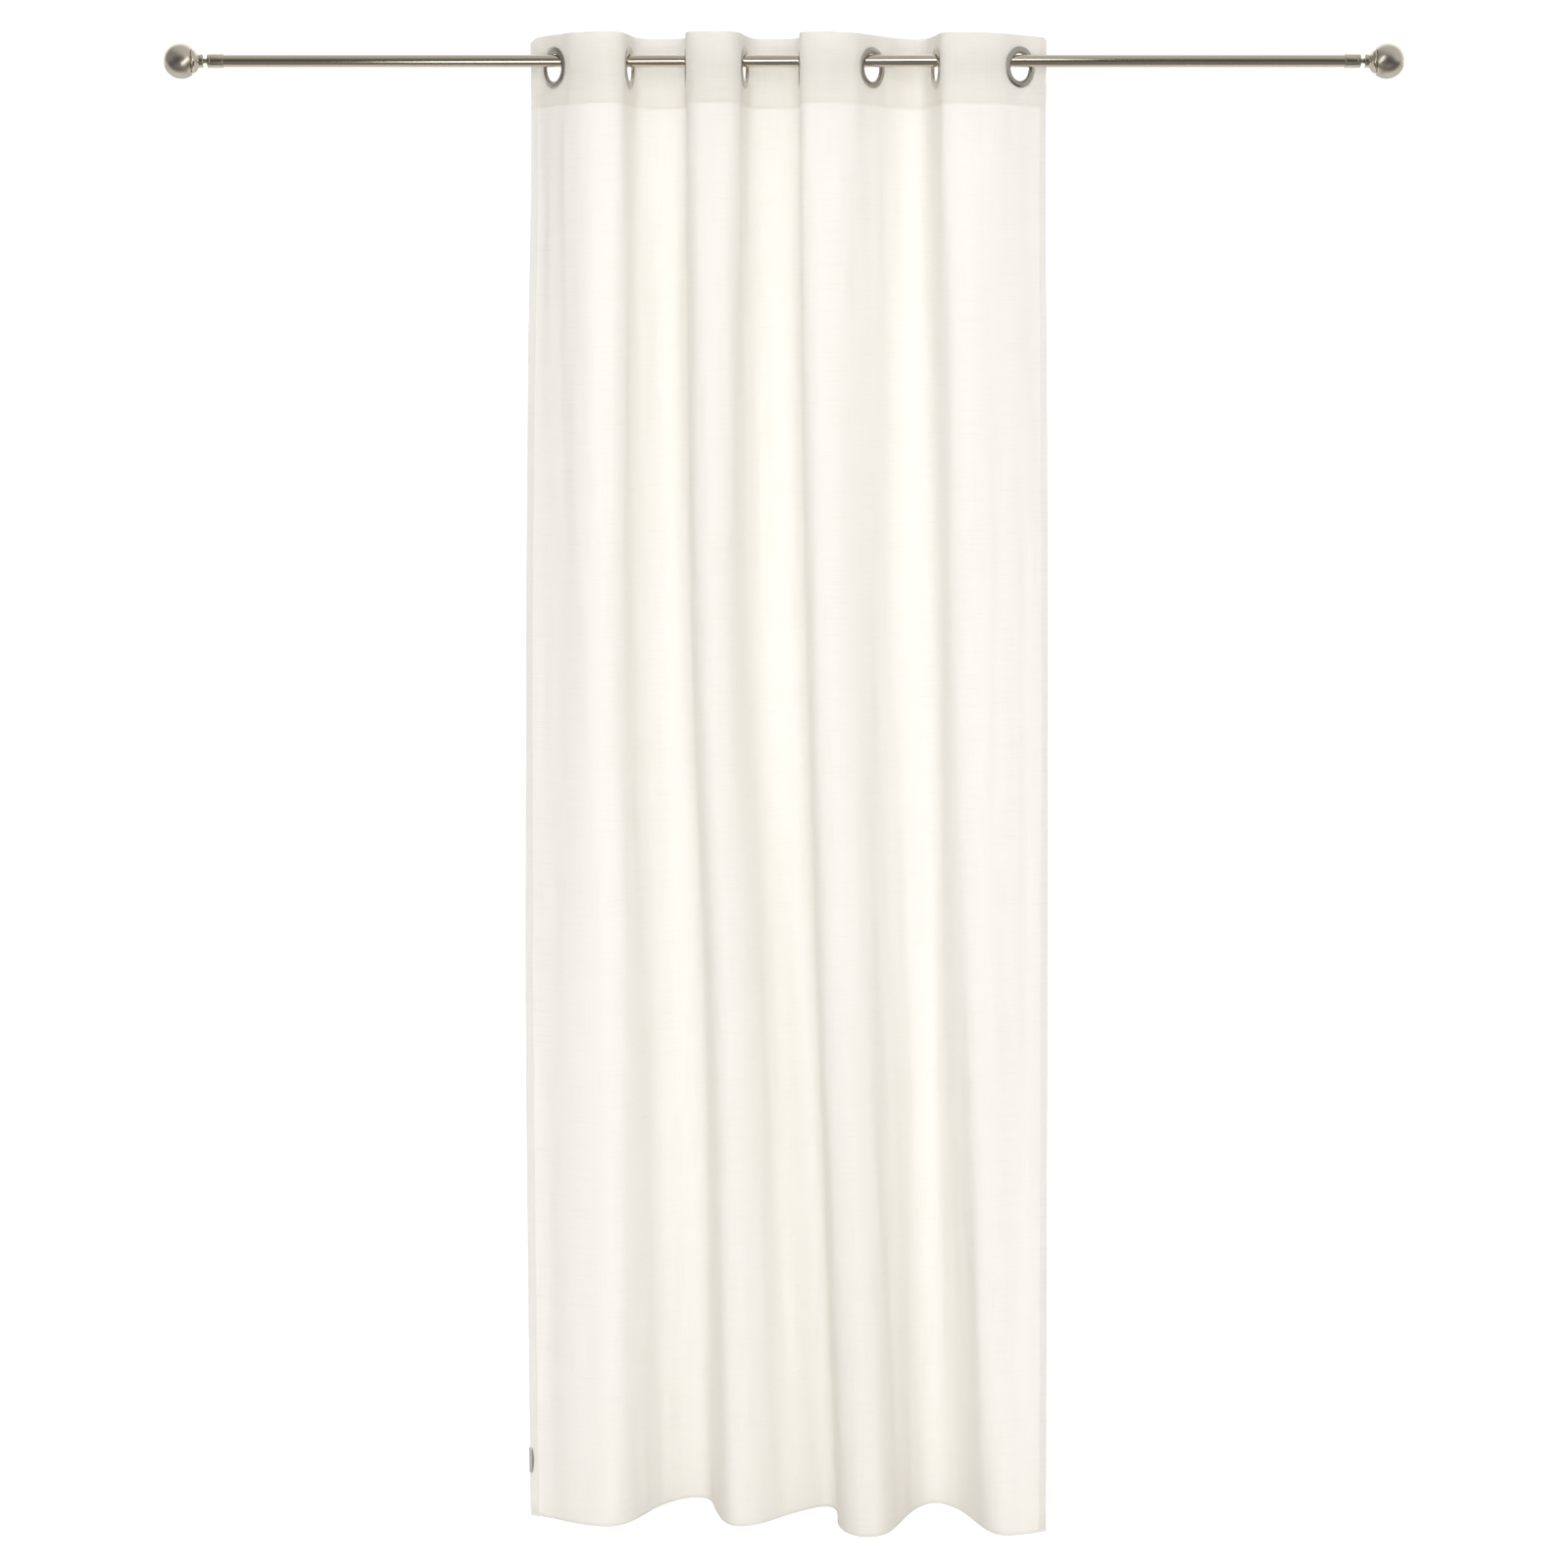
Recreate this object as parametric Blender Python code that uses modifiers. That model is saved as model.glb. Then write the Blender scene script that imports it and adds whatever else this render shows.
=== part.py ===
# Eyelet curtain hanging in folds on a plain rod with ball ends.
# Metres, +Z up. The origin lies on the rod's axis, at the middle of its length.
# +X runs along the rod to the right, and the front of the curtain faces -Y.
# Run it with: blender --background --python part.py

import math

import bmesh
import bpy
import numpy as np
from mathutils import Vector

CLEARANCE = 0.0003          # gap left where two pieces touch

# Cloth, as it was cut
EYELET_COUNT = 8
EYELET_PITCH = 0.183        # between eyelet centres, along the flat cloth
SIDE_MARGIN = 0.0595        # from a side edge to the nearest eyelet centre
CLOTH_WIDTH = 2 * SIDE_MARGIN + (EYELET_COUNT - 1) * EYELET_PITCH
CLOTH_DROP = 2.460          # from the top edge to the hem, at the left side
PANEL_THICKNESS = 0.0015
HEADING_THICKNESS = 0.0024
HEADING_HEIGHT = 0.1125
TOP_ABOVE_ROD = 0.041       # top edge above the rod's axis
HEM_SLOPE = 0.012           # the right side hangs this much lower than the left

TOP_Z = TOP_ABOVE_ROD
SEAM_Z = TOP_Z - HEADING_HEIGHT
HEM_Z = TOP_Z - CLOTH_DROP

# How the cloth lies at each eyelet's line, from left to right.
# x is the line's place along the rod at the heading, a third down, two thirds down and at the
# hem. y_hem is its place at the hem, where minus is toward the front. turn is the angle
# between cloth and rod in degrees, plus where the cloth comes forward from left to right.
FOLD_COLUMNS = ("x_top", "x_upper", "x_lower", "x_hem", "y_hem", "turn_top", "turn_mid", "turn_hem")
FOLD_ROWS = (
    (-0.3695, -0.3770, -0.3790, -0.3750, -0.026, 52, 40, 30),
    (-0.2489, -0.2516, -0.2380, -0.2330, +0.014, -79, -72, -64),
    (-0.1568, -0.1521, -0.1290, -0.1185, +0.052, 89, 90, 82),
    (-0.0640, -0.0651, -0.0355, -0.0160, -0.008, -80, -68, -45),
    (+0.0260, +0.0378, +0.0590, +0.0915, -0.003, 90, 93, 92),
    (+0.1412, +0.1437, +0.1608, +0.1880, -0.038, -52, -60, -70),
    (+0.2450, +0.2610, +0.2715, +0.2880, +0.069, 80, 82, 49),
    (+0.3789, +0.3850, +0.3860, +0.3860, -0.069, -41, -30, -17),
)
FOLDS = [dict(zip(FOLD_COLUMNS, row)) for row in FOLD_ROWS]
# The turn at the two side edges, at the heading, half way down and at the hem
LEFT_EDGE_TURNS = (22, 24, 17)
RIGHT_EDGE_TURNS = (-34, -32, -30)
X_LEVELS = (SEAM_Z, -0.90, -1.60, HEM_Z)
TURN_LEVELS = (SEAM_Z, -1.25, HEM_Z)
DRIFT_POWER = 1.4           # how late on the way down the lines leave the rod's plane

RING_FLAT = 0.034           # the ring holds the cloth flat this far on each side of its centre
FREE_FLAT = 0.006           # the same well below the heading
FLAT_FADE = 0.45            # drop over which the flat dies out
CURVE_STEPS = 40            # points on the curve of one fold
LENGTH_ROUNDS = 30          # halvings used to give a fold its exact length

# Grid of the two sheets
TURN_COLUMNS = 8            # columns in a fold's curve
PANEL_ROWS = 14
ROW_SPACING_POWER = 1.15    # rows lie a little closer under the heading

# Rings: radius from the ring's axis, height from the middle of the cloth
RING_STEPS = 20
RING_RIM = 0.0328
RING_THROAT = 0.0215
RING_GROOVE = 0.0260
RING_CROWN = 0.0032         # where the lip stands highest over the cloth
RING_THROAT_EDGE = 0.0012   # where the throat starts to flare out to the crown
RING_CROWN_IN = 0.0038      # crown starts this far outside the throat
RING_CROWN_OUT = 0.0025     # and ends this far inside the rim
RING_CROWN_FALL = 0.0005    # the crown's outer end is this much lower
CLOTH_HOLE = 0.0267
HOLE_STEPS = 24

# Rod and its ends: distances along the rod are from its middle
ROD_RADIUS = 0.010
ROD_SIDES = 32
ROD_HALF_LENGTH = 0.9147
END_STEPS = 20
SLEEVE_INNER_END = 0.9012
SLEEVE_OUTER_END = 0.9264
SLEEVE_RADIUS = 0.0114
SLEEVE_BORE = 0.0104
NECK_RADIUS = 0.0043
NECK_END = 0.9325
COLLAR_RADIUS = 0.0110
COLLAR_GROOVE_AT = 0.9395
COLLAR_FLARE_START = 0.9405
COLLAR_FLARE_END = 0.9485
COLLAR_RIM_RADIUS = 0.0195
COLLAR_END = 0.9512
EDGE_BREAK = 0.0008         # softened edges of the turned pieces
FLARE_STEP_RADIUS = 0.0035  # the flare's waist below the rim: inward, and back along the rod
FLARE_STEP_BACK = 0.0030
GROOVE_DEPTH = 0.0010
BALL_RADIUS = 0.0285
BALL_CENTRE = 0.9695
BALL_ARC_POINTS = 12

# Side label: a plain ribbon folded over the left edge
LABEL_TOP_ABOVE_HEM = 0.118
LABEL_HEIGHT = 0.043
LABEL_REACH = 0.008
LABEL_END_REACH = 0.45      # share of the reach that is left at its upper and lower end
LABEL_THICKNESS = 0.0006
LABEL_ROWS = 7
LABEL_LEG_POINTS = 3

# Finish of each kind of piece: base colour, roughness, metallic
FINISHES = {
    "curtain_panel": ((0.91, 0.88, 0.82), 0.85, 0.0),
    "heading_band": ((0.82, 0.77, 0.69), 0.85, 0.0),
    "side_label": ((0.24, 0.23, 0.21), 0.90, 0.0),
    "rod": ((0.56, 0.52, 0.46), 0.32, 1.0),
    "end_cap": ((0.56, 0.52, 0.46), 0.30, 1.0),
    "finial_collar": ((0.56, 0.52, 0.46), 0.30, 1.0),
    "finial_ball": ((0.58, 0.54, 0.48), 0.26, 1.0),
    "eyelet": ((0.58, 0.55, 0.49), 0.30, 1.0),
}


def clear_scene():
    for thing in list(bpy.data.objects):
        bpy.data.objects.remove(thing)


def new_collection(name):
    collection = bpy.data.collections.new(name)
    bpy.context.scene.collection.children.link(collection)
    return collection


def make_material(name):
    colour, roughness, metallic = FINISHES[name]
    material = bpy.data.materials.new(name)
    material.use_nodes = True
    shader = material.node_tree.nodes["Principled BSDF"]
    shader.inputs["Base Color"].default_value = (*colour, 1.0)
    shader.inputs["Roughness"].default_value = roughness
    shader.inputs["Metallic"].default_value = metallic
    return material


def add_object(name, mesh, collection, smooth_angle=None):
    """Link a mesh as a new object, shaded smooth where an angle is given."""
    thing = bpy.data.objects.new(name, mesh)
    collection.objects.link(thing)
    if smooth_angle:
        mesh.shade_smooth()
        mesh.set_sharp_from_angle(angle=math.radians(smooth_angle))
    return thing


# The cloth's path in plan

def along_drop(z, levels, values):
    """Smooth curve through one value for each level, steady above the first level."""
    if z >= levels[0]:
        return values[0]
    slopes = [0.0]
    for i in range(1, len(levels) - 1):
        slopes.append((values[i + 1] - values[i - 1]) / (levels[i + 1] - levels[i - 1]))
    slopes.append((values[-1] - values[-2]) / (levels[-1] - levels[-2]))
    i = max(k for k in range(len(levels) - 1) if z <= levels[k])
    span = levels[i + 1] - levels[i]
    t = (z - levels[i]) / span
    start = values[i] * (1 + 2 * t) * (1 - t) ** 2 + slopes[i] * span * t * (1 - t) ** 2
    end = values[i + 1] * t * t * (3 - 2 * t) + slopes[i + 1] * span * t * t * (t - 1)
    return start + end


def drift_share(z):
    """How much of its hem place a fold line has reached at height z."""
    share = (SEAM_Z - z) / (SEAM_Z - HEM_Z)
    return max(share, 0.0) ** DRIFT_POWER


def flat_reach(z):
    """Length of straight cloth on each side of an eyelet's line at height z."""
    t = min(max((SEAM_Z - z) / FLAT_FADE, 0.0), 1.0)
    fade = t * t * (3 - 2 * t)
    return RING_FLAT + (FREE_FLAT - RING_FLAT) * fade


def cloth_direction(turn):
    """Unit vector along the cloth in plan, from its turn in degrees."""
    angle = math.radians(turn)
    return np.array((math.cos(angle), -math.sin(angle)))


def line_place(fold, z):
    """Plan point of an eyelet's line at height z."""
    x = along_drop(z, X_LEVELS, [fold[k] for k in ("x_top", "x_upper", "x_lower", "x_hem")])
    return np.array((x, fold["y_hem"] * drift_share(z)))


def line_turn(fold, z):
    return along_drop(z, TURN_LEVELS, [fold[k] for k in ("turn_top", "turn_mid", "turn_hem")])


def bezier(a, b, c, d):
    t = np.linspace(0.0, 1.0, CURVE_STEPS + 1)[:, None]
    return a * (1 - t) ** 3 + 3 * b * t * (1 - t) ** 2 + 3 * c * t * t * (1 - t) + d * t ** 3


def path_length(points):
    return float(np.linalg.norm(np.diff(points, axis=0), axis=1).sum())


def fold_curve(start, end, turn_start, turn_end, flat):
    """One fold between two eyelet lines, as long as the cloth between them."""
    leave, arrive = cloth_direction(turn_start), cloth_direction(turn_end)
    first, last = start + leave * flat, end - arrive * flat
    low, high = 0.0, EYELET_PITCH
    for _ in range(LENGTH_ROUNDS):
        pull = (low + high) / 2
        curve = bezier(first, first + leave * pull, last - arrive * pull, last)
        if path_length(curve) > EYELET_PITCH - 2 * flat:
            high = pull
        else:
            low = pull
    return np.vstack((start, curve))


def flap_curve(start, turn, edge_turn, flat, side):
    """The free cloth outside the first or last eyelet; side is -1 at the left, +1 at the right."""
    points = [start, start + side * cloth_direction(turn) * flat]
    steps = CURVE_STEPS // 4
    step = (SIDE_MARGIN - flat) / steps
    for i in range(steps):
        share = (i + 0.5) / steps
        points.append(points[-1] + side * cloth_direction(turn + (edge_turn - turn) * share) * step)
    return np.array(points)


def cloth_path(z):
    """The whole cloth in plan at height z: distance along it, and the points."""
    flat = flat_reach(z)
    places = [line_place(fold, z) for fold in FOLDS]
    turns = [line_turn(fold, z) for fold in FOLDS]
    left_turn = along_drop(z, TURN_LEVELS, LEFT_EDGE_TURNS)
    right_turn = along_drop(z, TURN_LEVELS, RIGHT_EDGE_TURNS)
    pieces = [flap_curve(places[0], turns[0], left_turn, flat, -1)[::-1][:-1]]
    for i in range(EYELET_COUNT - 1):
        pieces.append(fold_curve(places[i], places[i + 1], turns[i], turns[i + 1], flat))
    pieces.append(flap_curve(places[-1], turns[-1], right_turn, flat, 1))
    points = np.vstack(pieces)
    steps = np.linalg.norm(np.diff(points, axis=0), axis=1)
    return np.concatenate(([0.0], np.cumsum(steps))), points


def eyelet_station(index):
    """Distance of an eyelet's centre from the left edge of the flat cloth."""
    return SIDE_MARGIN + index * EYELET_PITCH


def cloth_columns(middle_columns):
    """Stations of the grid's columns, with middle_columns between the ends of each flat."""
    stations = [0.0, (SIDE_MARGIN - RING_FLAT) / 2]
    for i in range(EYELET_COUNT):
        centre = eyelet_station(i)
        for k in range(middle_columns + 1):
            stations.append(centre - RING_FLAT + 2 * RING_FLAT * k / middle_columns)
        if i < EYELET_COUNT - 1:
            turn_start = centre + RING_FLAT
            turn_length = EYELET_PITCH - 2 * RING_FLAT
            for k in range(1, TURN_COLUMNS):
                stations.append(turn_start + turn_length * k / TURN_COLUMNS)
    return stations + [CLOTH_WIDTH - stations[1], CLOTH_WIDTH]


def hem_fall(station, z):
    """How much lower than its row a point lies, because the right side hangs lower."""
    return HEM_SLOPE * station / CLOTH_WIDTH * drift_share(z)


def grid_mesh(name, rows):
    """Open sheet through rows of points, from the top row down."""
    build = bmesh.new()
    grid = [[build.verts.new(point) for point in row] for row in rows]
    for upper, lower in zip(grid, grid[1:]):
        for i in range(len(upper) - 1):
            build.faces.new((upper[i], lower[i], lower[i + 1], upper[i + 1]))
    mesh = bpy.data.meshes.new(name)
    build.to_mesh(mesh)
    build.free()
    return mesh


def sheet_mesh(name, stations, heights):
    """Open sheet on the cloth's path, with a column for each station and a row for each height."""
    rows = []
    for z in heights:
        distance, points = cloth_path(z)
        xs = np.interp(stations, distance, points[:, 0])
        ys = np.interp(stations, distance, points[:, 1])
        rows.append([(x, y, z - hem_fall(s, z)) for s, x, y in zip(stations, xs, ys)])
    return grid_mesh(name, rows)


def add_solidify(thing, thickness):
    modifier = thing.modifiers.new("Thickness", "SOLIDIFY")
    modifier.thickness = thickness
    modifier.offset = 0.0
    modifier.use_even_offset = True


# Turned pieces

def turned_mesh(name, profile, closed_loop):
    """Profile mesh at +X for a Screw modifier, from points of radius and height."""
    build = bmesh.new()
    points = [build.verts.new((radius, 0.0, height)) for radius, height in profile]
    for a, b in zip(points, points[1:]):
        build.edges.new((a, b))
    if closed_loop:
        build.edges.new((points[-1], points[0]))
    mesh = bpy.data.meshes.new(name)
    build.to_mesh(mesh)
    build.free()
    return mesh


def add_screw(thing, steps):
    modifier = thing.modifiers.new("Turn", "SCREW")
    modifier.axis = "Z"
    modifier.steps = steps
    modifier.render_steps = steps
    modifier.use_merge_vertices = True
    modifier.merge_threshold = 0.00001
    modifier.use_smooth_shade = True


def ring_profile():
    """Pressed ring with a groove for the cloth, running down its outer side."""
    grip = HEADING_THICKNESS / 2 + CLEARANCE
    upper = [
        (RING_THROAT, RING_THROAT_EDGE),
        (RING_THROAT + RING_CROWN_IN, RING_CROWN),
        (RING_RIM - RING_CROWN_OUT, RING_CROWN - RING_CROWN_FALL),
        (RING_RIM, grip),
        (RING_GROOVE, grip),
    ]
    lower = [(radius, -height) for radius, height in reversed(upper)]
    return upper + lower


def ring_drop(turn):
    """How far the ring's centre hangs below the rod's axis when its throat rests on the rod."""
    along = cloth_direction(turn)[1]
    across = math.cos(math.radians(turn))
    inner = [p for p in ring_profile() if p[0] < RING_GROOVE]
    shrink = math.cos(math.pi / RING_STEPS)
    angles = np.linspace(0.0, math.pi, 361)
    low, high = 0.0, RING_THROAT
    for _ in range(LENGTH_ROUNDS):
        drop = (low + high) / 2
        nearest = min(
            np.hypot(radius * shrink * np.cos(angles) * along + height * across,
                     radius * shrink * np.sin(angles) - drop).min()
            for radius, height in inner)
        if nearest > ROD_RADIUS + CLEARANCE:
            low = drop
        else:
            high = drop
    return low


def ring_pose(index):
    """Place of a ring: its axis is square to the cloth, and its throat rests on the rod."""
    fold = FOLDS[index]
    turn = fold["turn_top"]
    centre = Vector((fold["x_top"], 0.0, -ring_drop(turn)))
    return centre, (math.pi / 2, 0.0, -math.radians(turn))


def add_ring(index, mesh, collection):
    ring = add_object(f"eyelet_{index + 1}", mesh, collection)
    ring.location, ring.rotation_euler = ring_pose(index)
    add_screw(ring, RING_STEPS)


def ball_profile():
    """Ball with a flat where it sits on the collar."""
    flat_below = BALL_CENTRE - COLLAR_END - CLEARANCE
    end_angle = math.acos(-flat_below / BALL_RADIUS)
    angles = [end_angle * k / BALL_ARC_POINTS for k in range(BALL_ARC_POINTS + 1)]
    arc = [(BALL_RADIUS * math.sin(a), BALL_CENTRE + BALL_RADIUS * math.cos(a)) for a in angles]
    return arc + [(0.0, BALL_CENTRE - flat_below)]


def collar_profile():
    """Collar that flares toward the ball, with a fine groove."""
    start = NECK_END + CLEARANCE
    return [
        (0.0, COLLAR_END),
        (COLLAR_RIM_RADIUS - EDGE_BREAK, COLLAR_END),
        (COLLAR_RIM_RADIUS, COLLAR_END - EDGE_BREAK),
        (COLLAR_RIM_RADIUS, COLLAR_FLARE_END),
        (COLLAR_RIM_RADIUS - FLARE_STEP_RADIUS, COLLAR_FLARE_END - FLARE_STEP_BACK),
        (COLLAR_RADIUS, COLLAR_FLARE_START),
        (COLLAR_RADIUS - GROOVE_DEPTH, COLLAR_GROOVE_AT),
        (COLLAR_RADIUS, COLLAR_GROOVE_AT - GROOVE_DEPTH),
        (COLLAR_RADIUS, start + EDGE_BREAK),
        (COLLAR_RADIUS - EDGE_BREAK, start),
        (0.0, start),
    ]


def cap_profile():
    """Sleeve over the rod's end, with the thin neck that carries the collar."""
    return [
        (0.0, NECK_END),
        (NECK_RADIUS, NECK_END),
        (NECK_RADIUS, SLEEVE_OUTER_END),
        (SLEEVE_RADIUS - EDGE_BREAK, SLEEVE_OUTER_END),
        (SLEEVE_RADIUS, SLEEVE_OUTER_END - EDGE_BREAK),
        (SLEEVE_RADIUS, SLEEVE_INNER_END),
        (SLEEVE_BORE, SLEEVE_INNER_END),
        (SLEEVE_BORE, ROD_HALF_LENGTH + CLEARANCE),
        (0.0, ROD_HALF_LENGTH + CLEARANCE),
    ]


def add_rod_ends(collection):
    """The same turned pieces at both ends; each profile's heights run outward from the middle."""
    profiles = {"end_cap": cap_profile(), "finial_collar": collar_profile(), "finial_ball": ball_profile()}
    for name, profile in profiles.items():
        mesh = turned_mesh(name, profile, closed_loop=False)
        mesh.materials.append(make_material(name))
        for side, quarter_turn in (("left", -math.pi / 2), ("right", math.pi / 2)):
            piece = add_object(f"{name}_{side}", mesh, collection)
            piece.rotation_euler = (0.0, quarter_turn, 0.0)
            add_screw(piece, END_STEPS)


def move_to_collection(thing, collection):
    for owner in list(thing.users_collection):
        owner.objects.unlink(thing)
    collection.objects.link(thing)


def add_rod(collection):
    bpy.ops.mesh.primitive_cylinder_add(vertices=ROD_SIDES, radius=ROD_RADIUS, depth=2 * ROD_HALF_LENGTH)
    rod = bpy.context.object
    rod.name = "rod"
    rod.rotation_euler = (0.0, math.pi / 2, 0.0)
    rod.data.materials.append(make_material("rod"))
    rod.data.shade_smooth()
    rod.data.set_sharp_from_angle(angle=math.radians(30))
    move_to_collection(rod, collection)


# Cloth pieces

def add_heading(collection, cutters):
    """Stiffened strip with a round hole behind each ring."""
    mesh = sheet_mesh("heading_band", cloth_columns(1), (TOP_Z, SEAM_Z + CLEARANCE))
    mesh.materials.append(make_material("heading_band"))
    heading = add_object("heading_band", mesh, collection, smooth_angle=40)
    add_solidify(heading, HEADING_THICKNESS)
    for i in range(EYELET_COUNT):
        bpy.ops.mesh.primitive_cylinder_add(
            vertices=HOLE_STEPS, radius=CLOTH_HOLE, depth=4 * HEADING_THICKNESS)
        cutter = bpy.context.object
        cutter.name = f"hole_cutter_{i + 1}"
        cutter.location, cutter.rotation_euler = ring_pose(i)
        cutter.hide_render = True
        cutter.display_type = "WIRE"
        move_to_collection(cutter, cutters)
        cut = heading.modifiers.new(f"Hole {i + 1}", "BOOLEAN")
        cut.operation = "DIFFERENCE"
        cut.solver = "EXACT"
        cut.object = cutter


def add_panel(collection):
    """The hanging cloth from the heading's seam to the hem."""
    shares = [(k / PANEL_ROWS) ** ROW_SPACING_POWER for k in range(PANEL_ROWS + 1)]
    heights = [SEAM_Z + (HEM_Z - SEAM_Z) * share for share in shares]
    mesh = sheet_mesh("curtain_panel", cloth_columns(3), heights)
    mesh.materials.append(make_material("curtain_panel"))
    panel = add_object("curtain_panel", mesh, collection, smooth_angle=60)
    add_solidify(panel, PANEL_THICKNESS)


def label_row(z, reach):
    """Plan points of the label at height z: front leg, round the edge, back leg."""
    distance, points = cloth_path(z)
    edge = points[0]
    inward = np.array([np.interp(reach, distance, points[:, k]) for k in (0, 1)])
    along = (inward - edge) / np.linalg.norm(inward - edge)
    across = np.array((along[1], -along[0]))
    if across[1] > 0:
        across = -across
    stand_off = PANEL_THICKNESS / 2 + CLEARANCE + LABEL_THICKNESS / 2
    front = [edge + along * reach * (1 - k / LABEL_LEG_POINTS) + across * stand_off
             for k in range(LABEL_LEG_POINTS)]
    bend = [edge - along * stand_off * math.sin(a) + across * stand_off * math.cos(a)
            for a in (0.0, math.pi / 4, math.pi / 2, 3 * math.pi / 4, math.pi)]
    back = [edge + along * reach * (k + 1) / LABEL_LEG_POINTS - across * stand_off
            for k in range(LABEL_LEG_POINTS)]
    return front + bend + back


def add_label(collection):
    """Small plain tab over the left edge, its ends drawn in like a lens."""
    rows = []
    for k in range(LABEL_ROWS):
        share = k / (LABEL_ROWS - 1)
        z = HEM_Z + LABEL_TOP_ABOVE_HEM - LABEL_HEIGHT * share
        reach = LABEL_REACH * (LABEL_END_REACH + (1 - LABEL_END_REACH) * math.sin(math.pi * share))
        rows.append([(x, y, z) for x, y in label_row(z, reach)])
    mesh = grid_mesh("side_label", rows)
    mesh.materials.append(make_material("side_label"))
    label = add_object("side_label", mesh, collection, smooth_angle=40)
    add_solidify(label, LABEL_THICKNESS)


def build_curtain():
    clear_scene()
    parts = new_collection("eyelet_curtain")
    cutters = new_collection("cutters")
    add_rod(parts)
    add_rod_ends(parts)
    ring_mesh = turned_mesh("eyelet_ring", ring_profile(), closed_loop=True)
    ring_mesh.materials.append(make_material("eyelet"))
    for i in range(EYELET_COUNT):
        add_ring(i, ring_mesh, parts)
    add_heading(parts, cutters)
    add_panel(parts)
    add_label(parts)


build_curtain()
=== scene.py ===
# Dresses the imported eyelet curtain: cloth with its folds, hems and stitches, turned metal, studio light.
# Metres, +Z up. The origin is on the rod's axis at the middle of its length, and the front faces -Y.

import math

import bmesh
import bpy
import numpy as np
from mathutils import Euler, Matrix, Vector


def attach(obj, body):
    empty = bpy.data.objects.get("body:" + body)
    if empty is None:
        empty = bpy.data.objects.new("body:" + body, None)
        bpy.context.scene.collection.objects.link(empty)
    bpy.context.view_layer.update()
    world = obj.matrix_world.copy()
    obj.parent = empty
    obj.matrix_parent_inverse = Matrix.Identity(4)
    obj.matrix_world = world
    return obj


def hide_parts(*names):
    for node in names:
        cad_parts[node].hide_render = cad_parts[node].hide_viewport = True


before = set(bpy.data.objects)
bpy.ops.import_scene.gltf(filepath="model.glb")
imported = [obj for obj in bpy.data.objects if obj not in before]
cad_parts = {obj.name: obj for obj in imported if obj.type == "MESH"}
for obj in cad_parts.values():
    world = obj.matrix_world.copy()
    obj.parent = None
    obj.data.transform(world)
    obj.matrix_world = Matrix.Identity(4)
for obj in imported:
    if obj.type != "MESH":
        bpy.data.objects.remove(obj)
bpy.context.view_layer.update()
print("frame loaded:", len(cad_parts), "nodes")


# sizes shared with the solids

clothCut = {
    "eyelets": 8,
    "pitch": 0.183,         # between eyelet centres, along the flat cloth
    "margin": 0.0595,       # side edge to the nearest eyelet centre
    "drop": 2.460,          # top edge to hem
    "topZ": 0.041,
    "headingHeight": 0.1125,
    "hemSlope": 0.012,      # the right side hangs this much lower
    "driftPower": 1.4,      # how late on the way down the fold lines leave the rod's plane
    "ringFlat": 0.034,      # straight cloth on each side of a ring's centre
    "freeFlat": 0.006,      # the same well below the heading
    "flatFade": 0.45,
}
clothWidth = 2 * clothCut["margin"] + (clothCut["eyelets"] - 1) * clothCut["pitch"]
topZ = clothCut["topZ"]
seamZ = topZ - clothCut["headingHeight"]
hemZ = topZ - clothCut["drop"]

# How the cloth lies at each eyelet's line: x at the heading, a third down, two thirds down and
# at the hem, y at the hem, and the turn against the rod at the heading, half way and the hem.
foldTable = (
    (-0.3695, -0.3770, -0.3790, -0.3750, -0.026, 52, 40, 30),
    (-0.2489, -0.2516, -0.2380, -0.2330, +0.014, -79, -72, -64),
    (-0.1568, -0.1521, -0.1290, -0.1185, +0.052, 89, 90, 82),
    (-0.0640, -0.0651, -0.0355, -0.0160, -0.008, -80, -68, -45),
    (+0.0260, +0.0378, +0.0590, +0.0915, -0.003, 90, 93, 92),
    (+0.1412, +0.1437, +0.1608, +0.1880, -0.038, -52, -60, -70),
    (+0.2450, +0.2610, +0.2715, +0.2880, +0.069, 80, 82, 49),
    (+0.3789, +0.3850, +0.3860, +0.3860, -0.069, -41, -30, -17),
)
leftEdgeTurns = (22, 24, 17)
rightEdgeTurns = (-34, -32, -30)
xLevels = (seamZ, -0.90, -1.60, hemZ)
turnLevels = (seamZ, -1.25, hemZ)
curveSteps = 96             # points on each fold
lengthRounds = 26           # halvings in the search for a fold's length
slopeStep = 0.0006          # reach each way when the bare cloth's slope is measured
reliefStep = 0.0012         # the same with its relief


# the cloth's line in plan

def alongDrop(z, levels, values):
    # smooth curve through one value for each level, steady above the first
    if z >= levels[0]:
        return values[0]
    slopes = [0.0]
    for i in range(1, len(levels) - 1):
        slopes.append((values[i + 1] - values[i - 1]) / (levels[i + 1] - levels[i - 1]))
    slopes.append((values[-1] - values[-2]) / (levels[-1] - levels[-2]))
    i = max(k for k in range(len(levels) - 1) if z <= levels[k])
    span = levels[i + 1] - levels[i]
    t = (z - levels[i]) / span
    start = values[i] * (1 + 2 * t) * (1 - t) ** 2 + slopes[i] * span * t * (1 - t) ** 2
    end = values[i + 1] * t * t * (3 - 2 * t) + slopes[i + 1] * span * t * t * (t - 1)
    return start + end


def unitRows(vectors):
    return vectors / np.maximum(np.linalg.norm(vectors, axis=-1, keepdims=True), 1e-12)


def distanceAlong(points):
    steps = np.linalg.norm(np.diff(points, axis=0), axis=1)
    return np.concatenate(([0.0], np.cumsum(steps)))


def easeStep(x, low, high):
    t = np.clip((x - low) / (high - low), 0.0, 1.0)
    return t * t * (3 - 2 * t)


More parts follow.
